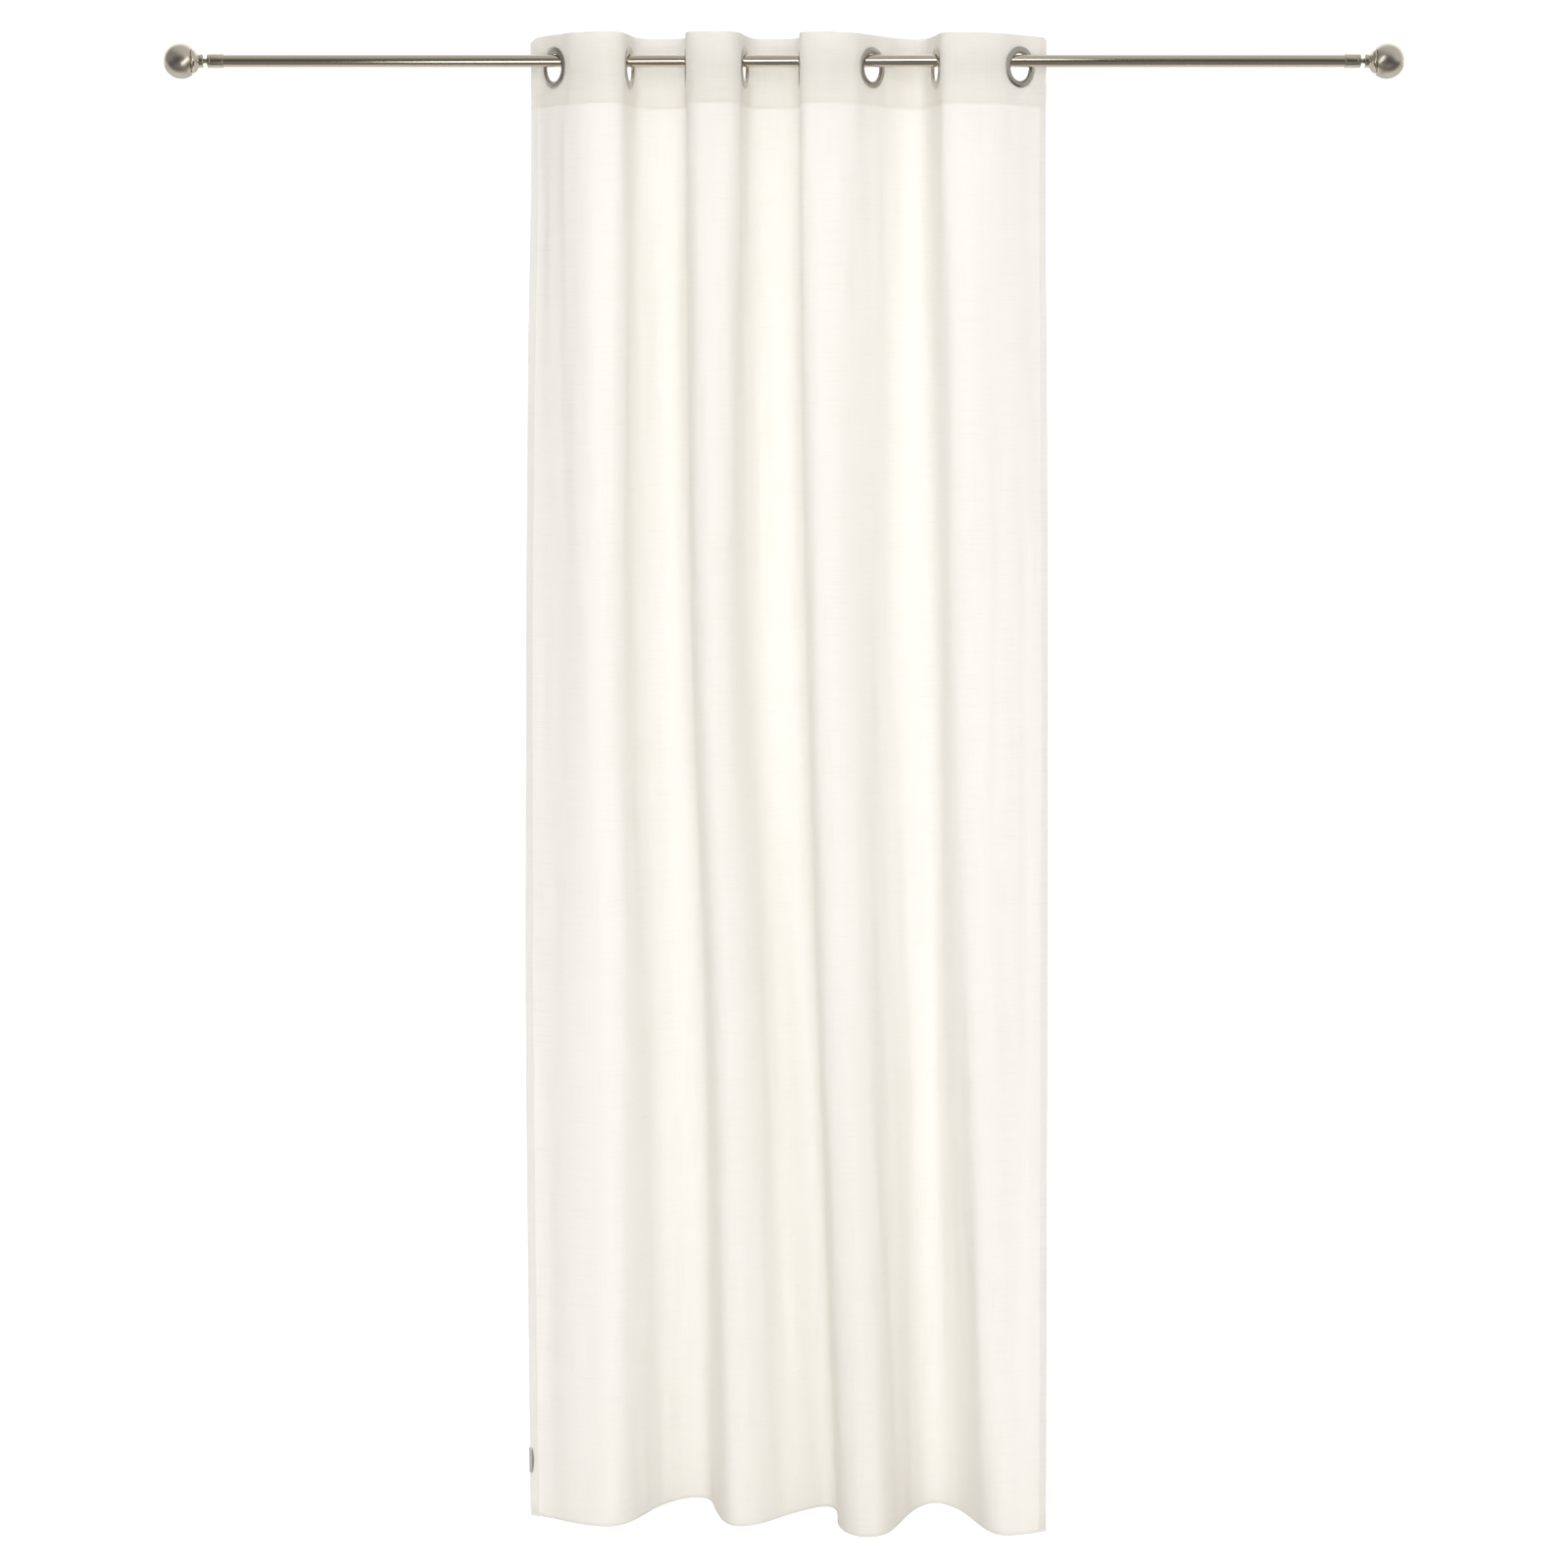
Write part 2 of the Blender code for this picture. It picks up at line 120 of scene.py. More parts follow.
def driftShare(z):
    return np.maximum((seamZ - z) / (seamZ - hemZ), 0.0) ** clothCut["driftPower"]


def flatReach(z):
    fade = float(easeStep((seamZ - z) / clothCut["flatFade"], 0.0, 1.0))
    return clothCut["ringFlat"] + (clothCut["freeFlat"] - clothCut["ringFlat"]) * fade


def clothDirection(turn):
    angle = math.radians(turn)
    return np.array((math.cos(angle), -math.sin(angle)))


def foldCurve(start, end, turnStart, turnEnd, flat):
    # the pull of the curve's handles is found so that the fold has its exact length
    leave, arrive = clothDirection(turnStart), clothDirection(turnEnd)
    first, last = start + leave * flat, end - arrive * flat
    t = np.linspace(0.0, 1.0, curveSteps + 1)[:, None]
    low, high = 0.0, clothCut["pitch"]
    for _ in range(lengthRounds):
        pull = (low + high) / 2
        curve = (first * (1 - t) ** 3 + 3 * (first + leave * pull) * t * (1 - t) ** 2
                 + 3 * (last - arrive * pull) * t * t * (1 - t) + last * t ** 3)
        if np.linalg.norm(np.diff(curve, axis=0), axis=1).sum() > clothCut["pitch"] - 2 * flat:
            high = pull
        else:
            low = pull
    return np.vstack((start, curve))


def flapCurve(start, turn, edgeTurn, flat, side):
    points = [start, start + side * clothDirection(turn) * flat]
    steps = curveSteps // 4
    step = (clothCut["margin"] - flat) / steps
    for i in range(steps):
        share = (i + 0.5) / steps
        points.append(points[-1] + side * clothDirection(turn + (edgeTurn - turn) * share) * step)
    return np.array(points)


def clothLine(z):
    # the whole cloth in plan at height z: distance along it, and the points
    flat = flatReach(z)
    drift = float(driftShare(z))
    places = [np.array((alongDrop(z, xLevels, row[:4]), row[4] * drift)) for row in foldTable]
    turns = [alongDrop(z, turnLevels, row[5:]) for row in foldTable]
    leftTurn, rightTurn = (alongDrop(z, turnLevels, edge) for edge in (leftEdgeTurns, rightEdgeTurns))
    parts = [flapCurve(places[0], turns[0], leftTurn, flat, -1)[::-1][:-1]]
    for i in range(clothCut["eyelets"] - 1):
        parts.append(foldCurve(places[i], places[i + 1], turns[i], turns[i + 1], flat))
    parts.append(flapCurve(places[-1], turns[-1], rightTurn, flat, 1))
    points = np.vstack(parts)
    return distanceAlong(points), points


eyeletStations = [clothCut["margin"] + i * clothCut["pitch"] for i in range(clothCut["eyelets"])]

# the line is worked out once at these heights and distances, and read from here afterwards
tableHeights = np.linspace(hemZ, seamZ, 161)
tableStations = np.linspace(0.0, clothWidth, 2401)
clothTable = np.zeros((len(tableHeights), len(tableStations), 2))
for r, tableZ in enumerate(tableHeights):
    tableDistance, tablePoints = clothLine(tableZ)
    for axis in (0, 1):
        clothTable[r, :, axis] = np.interp(tableStations, tableDistance, tablePoints[:, axis])


def clothPoints(stations, heights):
    # points on the middle of the cloth, without relief
    s = np.clip(stations, 0.0, clothWidth) / clothWidth * (len(tableStations) - 1)
    z = np.clip((heights - hemZ) / (seamZ - hemZ), 0.0, 1.0) * (len(tableHeights) - 1)
    column = np.minimum(s.astype(int), len(tableStations) - 2)
    row = np.minimum(z.astype(int), len(tableHeights) - 2)
    s, z = (s - column)[..., None], (z - row)[..., None]
    plan = ((clothTable[row, column] * (1 - s) + clothTable[row, column + 1] * s) * (1 - z)
            + (clothTable[row + 1, column] * (1 - s) + clothTable[row + 1, column + 1] * s) * z)
    fall = clothCut["hemSlope"] * stations / clothWidth * driftShare(heights)
    return np.concatenate((plan, (heights - fall - cornerFall(stations, heights))[..., None]), axis=-1)


# the heading's top corners droop a little: how far in, and how much, at the left and the right
corners = {"leftIn": 0.020, "leftFall": 0.0085, "rightIn": 0.010, "rightFall": 0.0050, "reach": 0.050}


def cornerFall(stations, heights):
    fromRight = clothWidth - stations
    left = np.clip(1 - stations / corners["leftIn"], 0.0, 1.0) ** 2 * corners["leftFall"]
    right = np.clip(1 - fromRight / corners["rightIn"], 0.0, 1.0) ** 2 * corners["rightFall"]
    return (left + right) * easeStep(heights, topZ - corners["reach"], topZ)


def clothSurface(stations, heights, relief):
    # points with their relief, and the direction the face side looks in
    stations, heights = np.asarray(stations, float), np.asarray(heights, float)

    def facing(pointsAt, s, z, step):
        across = pointsAt(s + step, z) - pointsAt(s - step, z)
        down = pointsAt(s, z - step) - pointsAt(s, z + step)
        return unitRows(np.cross(across, down))

    def raised(s, z):
        return clothPoints(s, z) + facing(clothPoints, s, z, slopeStep) * relief(s, z)[..., None]

    inside = np.clip(stations, reliefStep * 1.5, clothWidth - reliefStep * 1.5)
    return raised(stations, heights), facing(raised, inside, heights, reliefStep)


# relief of the cloth: soft waves, creases and drag lines, in metres toward the face side

# seed, how many waves, their lengths down and across the cloth, their height
waveSets = {
    "panelBroad": (11, 6, (1.4, 3.6), (0.075, 0.160), 0.0011),
    "panelNarrow": (23, 5, (0.5, 1.4), (0.032, 0.060), 0.00030),
    "headingBroad": (5, 6, (0.20, 0.60), (0.045, 0.110), 0.00065),
    "headingNarrow": (8, 4, (0.05, 0.12), (0.016, 0.030), 0.00014),
}
waveGrowth = 0.35       # share of the broad waves at the seam, and how far below it they are full
creaseFade = {"lead": 0.02, "top": 0.12, "bottom": 0.35, "wander": 0.004, "wanderLength": 1.1}
# short lines that fan out below each ring: how each leans, and its share of the height
dragLines = {"leans": ((-0.30, 1.0), (0.26, 0.7648)), "from": 0.05, "height": 0.00045, "half": 0.008,
             "fade": 0.10}
ringHold = (0.0345, 0.046)      # radii at which the heading is held flat, and at which it is free

# station, where it starts and ends down the drop, height, half width; minus is a valley
creases = (
    (0.0865, -0.06, -0.75, -0.0016, 0.010),
    (0.0320, -0.10, -1.30, +0.0010, 0.012),
    (0.1700, -0.08, -1.90, +0.0012, 0.014),
    (0.2150, -0.08, -0.80, -0.0010, 0.009),
    (0.3350, -0.30, -2.40, +0.0012, 0.013),
    (0.4950, -0.08, -0.70, -0.0011, 0.009),
    (0.5350, -0.40, -2.40, +0.0013, 0.014),
    (0.6900, -0.08, -1.40, -0.0012, 0.012),
    (0.8350, -0.08, -0.90, -0.0014, 0.010),
    (0.8750, -0.30, -2.40, +0.0012, 0.014),
    (1.0600, -0.08, -1.00, +0.0012, 0.011),
    (1.2100, -0.20, -1.60, -0.0013, 0.012),
    (1.2750, -0.50, -2.40, -0.0016, 0.013),
    (1.3550, -0.70, -2.40, +0.0014, 0.010),
)


def softWaves(station, drop, name):
    # sum of slow waves that run down the cloth; the seed fixes every one of them
    seed, waves, tall, wide, height = waveSets[name]
    draw = np.random.default_rng(seed)
    total = np.zeros_like(station)
    for _ in range(waves):
        across = draw.uniform(*wide)
        down = draw.uniform(*tall) * draw.choice((-1.0, 1.0))
        phase = draw.uniform(0.0, 2 * math.pi)
        total += np.sin(2 * math.pi * (station / across + drop / down) + phase)
    return total * height / math.sqrt(waves)


def nearRing(station, z):
    # 1 on the flat disc that a ring holds, 0 away from it
    held = np.zeros_like(station)
    for at, drop in zip(eyeletStations, ringDrops):
        away = np.hypot(station - at, z + drop)
        held = np.maximum(held, 1 - easeStep(away, *ringHold))
    return held


def panelRelief(station, z):
    drop, below = topZ - z, seamZ - z
    grow = waveGrowth + (1 - waveGrowth) * easeStep(below, 0.0, waveGrowth)
    total = softWaves(station, drop, "panelBroad") * grow + softWaves(station, drop, "panelNarrow")
    fade = creaseFade
    for at, start, end, height, half in creases:
        ends = easeStep(start + fade["lead"] - z, 0.0, fade["top"]) * easeStep(z - end, 0.0, fade["bottom"])
        wander = fade["wander"] * np.sin(2 * math.pi * z / fade["wanderLength"] + at * 40)
        total += height * ends * np.exp(-((station - at - wander) / half) ** 2)
    for at in eyeletStations:
        for lean, share in dragLines["leans"]:
            line = station - at - lean * (below + dragLines["from"])
            total += (dragLines["height"] * share * np.exp(-(line / dragLines["half"]) ** 2)
                      * np.exp(-below / dragLines["fade"]))
    return total * easeStep(z - hemZ, -0.02, 0.03)


def headingRelief(station, z):
    drop = topZ - z
    total = softWaves(station, drop, "headingBroad") + softWaves(station, drop, "headingNarrow")
    return total * (1 - nearRing(station, z)) * easeStep(z - seamZ, -0.004, 0.012)


# objects in the scene

sharpAngle = {"cloth": 75, "metal": 50}


def addObject(name, data):
    thing = bpy.data.objects.new(name, data)
    bpy.context.scene.collection.objects.link(thing)
    return thing


def addMesh(name, build, angle=None):
    # the bmesh becomes a smooth object; edges sharper than the angle stay sharp
    mesh = bpy.data.meshes.new(name)
    build.to_mesh(mesh)
    build.free()
    mesh.shade_smooth()
    if angle:
        mesh.set_sharp_from_angle(angle=math.radians(angle))
    return addObject(name, mesh)


def skinRows(build, pairs, sides):
    # faces between pairs of rows round an axis; a row of one point closes the end
    for a, b in pairs:
        for i in range(sides):
            j = (i + 1) % sides
            unique = list(dict.fromkeys((a[i % len(a)], a[j % len(a)], b[j % len(b)], b[i % len(b)])))
            if len(unique) > 2:
                build.faces.new(unique)


# sheets made into thin closed shells

def gridFaces(rows, columns):
    at = np.arange(rows * columns).reshape(rows, columns)
    return np.stack((at[:-1, :-1], at[1:, :-1], at[1:, 1:], at[:-1, 1:]), axis=-1).reshape(-1, 4)


def closedShell(name, points, normals, faces, front, back, places, layers):
    # front and back are how far each side stands off the middle; rims are closed with quads
    used = np.unique(faces)
    renumber = np.full(len(points), -1)
    renumber[used] = np.arange(len(used))
    points, normals, front, back, places, layers = (
        values[used] for values in (points, normals, front, back, places, layers))
    faces = renumber[faces]
    count = len(points)
    ends = np.stack((faces, np.roll(faces, -1, axis=1)), axis=-1).reshape(-1, 2)
    key = ends.min(axis=1).astype(np.int64) * count + ends.max(axis=1)
    _, where, seen = np.unique(key, return_index=True, return_counts=True)
    rim = ends[where[seen == 1]]
    strips = np.stack((rim[:, 1], rim[:, 0], rim[:, 0] + count, rim[:, 1] + count), axis=-1)
    allPoints = np.vstack((points + normals * front[:, None], points - normals * back[:, None]))
    allFaces = np.vstack((faces, faces[:, ::-1] + count, strips))
    mesh = bpy.data.meshes.new(name)
    mesh.from_pydata(allPoints.tolist(), [], allFaces.tolist())
    mesh.validate()
    place = mesh.attributes.new("clothPlace", "FLOAT_VECTOR", "POINT")
    place.data.foreach_set("vector", np.vstack((places, places)).astype(np.float32).ravel())
    layer = mesh.attributes.new("layers", "FLOAT", "POINT")
    layer.data.foreach_set("value", np.concatenate((layers, layers)).astype(np.float32))
    mesh.shade_smooth()
    mesh.set_sharp_from_angle(angle=math.radians(sharpAngle["cloth"]))
    return addObject(name, mesh)


def evenSteps(start, end, spacing):
    return list(np.linspace(start, end, max(int(round(abs(end - start) / spacing)), 1) + 1))


def joinSteps(*lists):
    joined = []
    for values in lists:
        joined += [v for v in values if not joined or abs(v - joined[-1]) > 1e-7]
    return joined


def acrossSteps(side, spacing):
    # the given distances from each side edge, and even steps between them
    middle = evenSteps(side[-1], clothWidth - side[-1], spacing)
    return joinSteps(side, middle, [clothWidth - s for s in reversed(side)])


# rings: where each hangs on the rod

ring = {
    "rim": 0.0328,
    "throat": 0.0215,
    "groove": 0.0260,
    "throatEdge": 0.0012,
    "crown": 0.0032,
    "crownIn": 0.0038,
    "crownOut": 0.0025,
    "crownFall": 0.0005,
    "cornerRound": 0.0007,
    "grip": 0.0015,         # the cloth's half thickness with its clearance
    "clothHole": 0.0267,
    "steps": 96,
    "solidSides": 20,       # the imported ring's sides, which set how it rests on the rod
    "rounds": 30,           # halvings in the search for that rest
}
rodRadius = 0.010
clearance = 0.0003


def ringDrop(turn):
    # how far the ring's centre hangs below the rod's axis when its throat rests on the rod
    along, across = clothDirection(turn)[1], math.cos(math.radians(turn))
    shrink = math.cos(math.pi / ring["solidSides"])
    oneSide = ((ring["throat"], ring["throatEdge"]), (ring["throat"] + ring["crownIn"], ring["crown"]))
    inner = [(radius, side * height) for side in (1, -1) for radius, height in oneSide]
    angles = np.linspace(0.0, math.pi, 361)
    low, high = 0.0, ring["throat"]
    for _ in range(ring["rounds"]):
        drop = (low + high) / 2
        nearest = min(
            np.hypot(radius * shrink * np.cos(angles) * along + height * across,
                     radius * shrink * np.sin(angles) - drop).min()
            for radius, height in inner)
        if nearest > rodRadius + clearance:
            low = drop
        else:
            high = drop
    return low


ringDrops = [ringDrop(row[5]) for row in foldTable]


# shader node groups

def newGroup(name, inputs, outputs):
    # inputs give the kind of each socket; all outputs are numbers
    group = bpy.data.node_groups.new(name, "ShaderNodeTree")
    for label, kind in inputs.items():
        group.interface.new_socket(name=label, in_out="INPUT", socket_type="NodeSocket" + kind)
    for label in outputs:
        group.interface.new_socket(name=label, in_out="OUTPUT", socket_type="NodeSocketFloat")
    return group, group.nodes.new("NodeGroupInput"), group.nodes.new("NodeGroupOutput")


def connect(tree, socket, value):
    # value is a number, a colour, or the socket that feeds this one
    if isinstance(value, bpy.types.NodeSocket):
        tree.links.new(value, socket)
    else:
        socket.default_value = value


def makeNode(tree, kind, inputs=(), **settings):
    # inputs are given by label, by index or in order; settings are set first, as they can change the sockets
    node = tree.nodes.new("ShaderNode" + kind)
    for label, value in settings.items():
        setattr(node, label, value)
    feed(tree, node, inputs)
    return node.outputs


def feed(tree, node, inputs):
    for key, value in inputs.items() if isinstance(inputs, dict) else enumerate(inputs):
        connect(tree, node.inputs[key], value)


def mathNode(tree, operation, *values, clamp=False):
    return makeNode(tree, "Math", values, operation=operation, use_clamp=clamp)[0]


def mapRange(tree, value, fromLow, fromHigh, toLow, toHigh, smooth=False):
    way = "SMOOTHSTEP" if smooth else "LINEAR"
    return makeNode(tree, "MapRange", (value, fromLow, fromHigh, toLow, toHigh), interpolation_type=way)[0]


def mixColour(tree, share, a, b, blend="MIX"):
    return makeNode(tree, "Mix", {0: share, 6: a, 7: b}, data_type="RGBA", blend_type=blend)[2]


def vectorMath(tree, operation, *values):
    return makeNode(tree, "VectorMath", values, operation=operation)


def axesOf(tree, place):
    return makeNode(tree, "SeparateXYZ", (place,))


def textureCoordinate(tree, name):
    return makeNode(tree, "TexCoord")[name]


def stretchedNoise(tree, place, scale, detail=2.0, roughness=0.5):
    stretched = vectorMath(tree, "MULTIPLY", place, scale)["Vector"]
    return makeNode(tree, "TexNoise", {"Vector": stretched, "Scale": 1.0, "Detail": detail,
                                       "Roughness": roughness})["Fac"]


weaveLook = {
    "wanderScale": (55.0, 55.0, 1.0), "wander": 1.4,
    "weftScale": (14.0, 1050.0, 1.0), "weftRange": (0.57, 0.74),
    "warpScale": (1150.0, 9.0, 7.0), "warpRange": (0.59, 0.76),
    "slubHeight": 0.8, "cloudScale": (6.0, 1.6, 1.0),
    "yarnTone": 0.35, "cloudTone": 0.45, "crossTone": 0.10, "baseTone": 0.1,
}


def makeWeaveGroup():
    # plain weave with thicker yarns here and there; place is in metres along and down the cloth
    group, given, out = newGroup(
        "plainWeave", {"Place": "Vector", "Threads": "Float", "Slubs": "Float"}, ("Height", "Tone", "Slub"))
    place, threads, slubs = given.outputs[:3]
    look = weaveLook
    wander = mathNode(group, "MULTIPLY", stretchedNoise(group, place, look["wanderScale"]), look["wander"])
    sides = []
    for along in axesOf(group, place)[:2]:
        turns = mathNode(group, "MULTIPLY_ADD", along, threads, wander)
        sides.append(mathNode(group, "SINE", mathNode(group, "MULTIPLY", turns, math.pi)))
    crossing = mathNode(group, "MULTIPLY", *sides)
    bump = mathNode(group, "POWER", mathNode(group, "ABSOLUTE", crossing), 0.5)
    thick = [mapRange(group, stretchedNoise(group, place, look[way + "Scale"], 1.0),
                      *look[way + "Range"], 0.0, 1.0, True) for way in ("weft", "warp")]
    slub = mathNode(group, "MULTIPLY", mathNode(group, "MAXIMUM", *thick), slubs)
    height = mathNode(group, "MULTIPLY_ADD", slub, look["slubHeight"], bump)
    cloudy = stretchedNoise(group, place, look["cloudScale"], 3.0)
    tone = mathNode(group, "MULTIPLY_ADD", bump, look["yarnTone"],
                    mathNode(group, "MULTIPLY", cloudy, look["cloudTone"]))
    tone = mathNode(group, "MULTIPLY_ADD", crossing, look["crossTone"], tone)
    tone = mathNode(group, "ADD", tone, look["baseTone"], clamp=True)
    feed(group, out, {"Height": height, "Tone": tone, "Slub": slub})
    return group


grainLook = {
    "around": 3.0, "coarseScale": (420.0, 2.0, 2.0), "coarseTone": 0.4, "fineTone": 0.6,
    "smudgeScale": (26.0, 6.0, 6.0), "smudgeRange": (0.35, 0.7),
}


def makeGrainGroup():
    # fine lines left by polishing, with soft handling marks; place is along and round the piece
    group, given, out = newGroup(
        "brushedGrain", {"Place": "Vector", "Lines": "Float"}, ("Height", "Tone", "Smudge"))
    place, lines = given.outputs[:2]
    look = grainLook
    scale = makeNode(group, "CombineXYZ", (lines, look["around"], look["around"]))[0]
    fine = stretchedNoise(group, place, scale, 3.0, 0.7)
    coarse = stretchedNoise(group, place, look["coarseScale"], 2.0, 0.6)
    tone = mathNode(group, "MULTIPLY_ADD", coarse, look["coarseTone"],
                    mathNode(group, "MULTIPLY", fine, look["fineTone"]))
    smudge = mapRange(group, stretchedNoise(group, place, look["smudgeScale"], 3.0),
                      *look["smudgeRange"], 0.0, 1.0, True)
    feed(group, out, {"Height": fine, "Tone": tone, "Smudge": smudge})
    return group


weaveGroup = makeWeaveGroup()
grainGroup = makeGrainGroup()


# materials

def newMaterial(name):
    material = bpy.data.materials.new(name)
    material.use_nodes = True
    tree = material.node_tree
    return material, tree, tree.nodes["Principled BSDF"]


def placeGroup(tree, group, **values):
    return makeNode(tree, "Group", values, node_tree=group)


def attribute(tree, name, output):
    return makeNode(tree, "Attribute", attribute_name=name)[output]


def bumpNode(tree, height, strength, distance):
    return makeNode(tree, "Bump", {"Strength": strength, "Distance": distance, "Height": height})["Normal"]


def mixShaders(tree, share, first, second):
    return makeNode(tree, "MixShader", (share, first, second))[0]


def setSurface(tree, shader, output="Material Output"):
    tree.links.new(shader, tree.nodes[output].inputs["Surface"])


# what all cloth shares, unless a finish has its own value for it
allCloth = {
    "threads": 1500.0, "slubTone": 0.7, "roughLow": 0.78, "roughHigh": 0.92, "bump": 0.45,
    "yarnDepth": 0.0002, "specular": 0.25, "sheen": 0.10, "sheenRough": 0.5,
}
clothFinish = {
    "panelCloth": {
        "light": (0.992, 0.982, 0.960, 1), "shade": (0.954, 0.938, 0.905, 1),
        "slub": (0.895, 0.866, 0.808, 1), "slubs": 0.8, "through": 0.55, "doubled": 0.92,
    },
    "headingCloth": {
        "light": (0.962, 0.947, 0.914, 1), "shade": (0.910, 0.890, 0.848, 1),
        "slub": (0.850, 0.820, 0.756, 1), "slubs": 0.9, "through": 0.60, "doubled": 0.94,
    },
    "labelRibbon": {
        "light": (0.360, 0.346, 0.315, 1), "shade": (0.250, 0.238, 0.215, 1),
        "slub": (0.290, 0.276, 0.250, 1), "slubs": 0.3, "through": 0.05, "doubled": 0.90,
        "threads": 2600.0, "roughLow": 0.70, "roughHigh": 0.85, "bump": 0.40,
    },
}


def makeClothMaterial(name):
    finish = allCloth | clothFinish[name]
    material, tree, shader = newMaterial(name)
    place = attribute(tree, "clothPlace", "Vector")
    weave = placeGroup(tree, weaveGroup, Place=place, Threads=finish["threads"], Slubs=finish["slubs"])
    colour = mixColour(tree, weave["Tone"], finish["shade"], finish["light"])
    slub = mathNode(tree, "MULTIPLY", weave["Slub"], finish["slubTone"])
    colour = mixColour(tree, slub, colour, finish["slub"])
    # two or more layers let less light through
    doubled = mapRange(tree, attribute(tree, "layers", "Fac"), 1.0, 2.0, 1.0, finish["doubled"])
    thinned = mixColour(tree, 1.0, colour, doubled, "MULTIPLY")
    rough = mapRange(tree, weave["Tone"], 0.0, 1.0, finish["roughHigh"], finish["roughLow"])
    normal = bumpNode(tree, weave["Height"], finish["bump"], finish["yarnDepth"])
    feed(tree, shader, {
        "Base Color": colour, "Roughness": rough, "Normal": normal, "Specular IOR Level": finish["specular"],
        "Sheen Weight": finish["sheen"], "Sheen Roughness": finish["sheenRough"]})
    through = makeNode(tree, "BsdfTranslucent", {"Color": thinned, "Normal": normal})[0]
    setSurface(tree, mixShaders(tree, finish["through"], shader.outputs[0], through))
    return material


threadFinish = {
    "light": (0.900, 0.865, 0.790, 1), "shade": (0.760, 0.715, 0.630, 1),
    "twist": (900.0, 900.0, 2600.0), "roughLow": 0.55, "roughHigh": 0.75,
    "bump": 0.4, "depth": 0.0001, "sheen": 0.1,
}


def makeThreadMaterial():
    finish = threadFinish
    material, tree, shader = newMaterial("sewingThread")
    twist = stretchedNoise(tree, textureCoordinate(tree, "Object"), finish["twist"])
    feed(tree, shader, {
        "Base Color": mixColour(tree, twist, finish["shade"], finish["light"]),
        "Roughness": mapRange(tree, twist, 0.2, 0.8, finish["roughLow"], finish["roughHigh"]),
        "Normal": bumpNode(tree, twist, finish["bump"], finish["depth"]),
        "Sheen Weight": finish["sheen"]})
    return material


# the same for metal
allMetal = {
    "edge": (0.78, 0.73, 0.64, 1), "wornTone": 0.35,
    "bump": 0.0025, "grainRough": 0.03, "grainDepth": 0.0001,
}
metalFinish = {
    "rodMetal": {
        "light": (0.680, 0.615, 0.510, 1), "shade": (0.590, 0.525, 0.420, 1),
        "rough": 0.12, "smudge": 0.03, "lines": 5200.0,
    },
    "ballMetal": {
        "light": (0.680, 0.625, 0.530, 1), "shade": (0.590, 0.535, 0.440, 1),
        "rough": 0.25, "smudge": 0.05, "lines": 2600.0,
    },
    "eyeletMetal": {
        "light": (0.520, 0.490, 0.435, 1), "shade": (0.420, 0.392, 0.342, 1),
        "edge": (0.72, 0.69, 0.63, 1), "rough": 0.15, "smudge": 0.04, "lines": 4200.0, "bump": 0.004,
    },
}


def makeMetalMaterial(name):
    # turned pieces carry the place along and round them in an attribute
    finish = allMetal | metalFinish[name]
    material, tree, shader = newMaterial(name)
    place = attribute(tree, "turnedPlace", "Vector")
    grain = placeGroup(tree, grainGroup, Place=place, Lines=finish["lines"])
    colour = mixColour(tree, grain["Tone"], finish["shade"], finish["light"])
    worn = mathNode(tree, "MULTIPLY", attribute(tree, "edge", "Fac"), finish["wornTone"])
    smudged = finish["rough"] + finish["smudge"]
    rough = mapRange(tree, grain["Smudge"], 0.0, 1.0, finish["rough"], smudged)
    feed(tree, shader, {
        "Base Color": mixColour(tree, worn, colour, finish["edge"]),
        "Roughness": mathNode(tree, "MULTIPLY_ADD", grain["Tone"], finish["grainRough"], rough),
        "Normal": bumpNode(tree, grain["Height"], finish["bump"], finish["grainDepth"]),
        "Metallic": 1.0})
    return material


materials = {name: makeClothMaterial(name) for name in clothFinish}
materials["sewingThread"] = makeThreadMaterial()
for name in metalFinish:
    materials[name] = makeMetalMaterial(name)
print("materials made")


# turned pieces

arcSteps, sideShare = 3, 0.45       # steps in each corner's arc, and the most that it takes of a side


def roundProfile(points, radius, closed=False):
    # cuts each corner back by up to radius and puts a small arc there
    points = [np.array(p, float) for p in points]
    rounded = []
    for i, point in enumerate(points):
        if not closed and i in (0, len(points) - 1):
            rounded.append(point)
            continue
        toBefore, toAfter = points[i - 1] - point, points[(i + 1) % len(points)] - point
        cut = min(radius, *(sideShare * np.linalg.norm(side) for side in (toBefore, toAfter)))
        start, end = point + unitRows(toBefore) * cut, point + unitRows(toAfter) * cut
        for k in range(arcSteps + 1):
            t = k / arcSteps
            rounded.append(start * (1 - t) ** 2 + 2 * point * t * (1 - t) + end * t * t)
    return rounded


edgeWear = 0.0012       # how far wear reaches from an edge


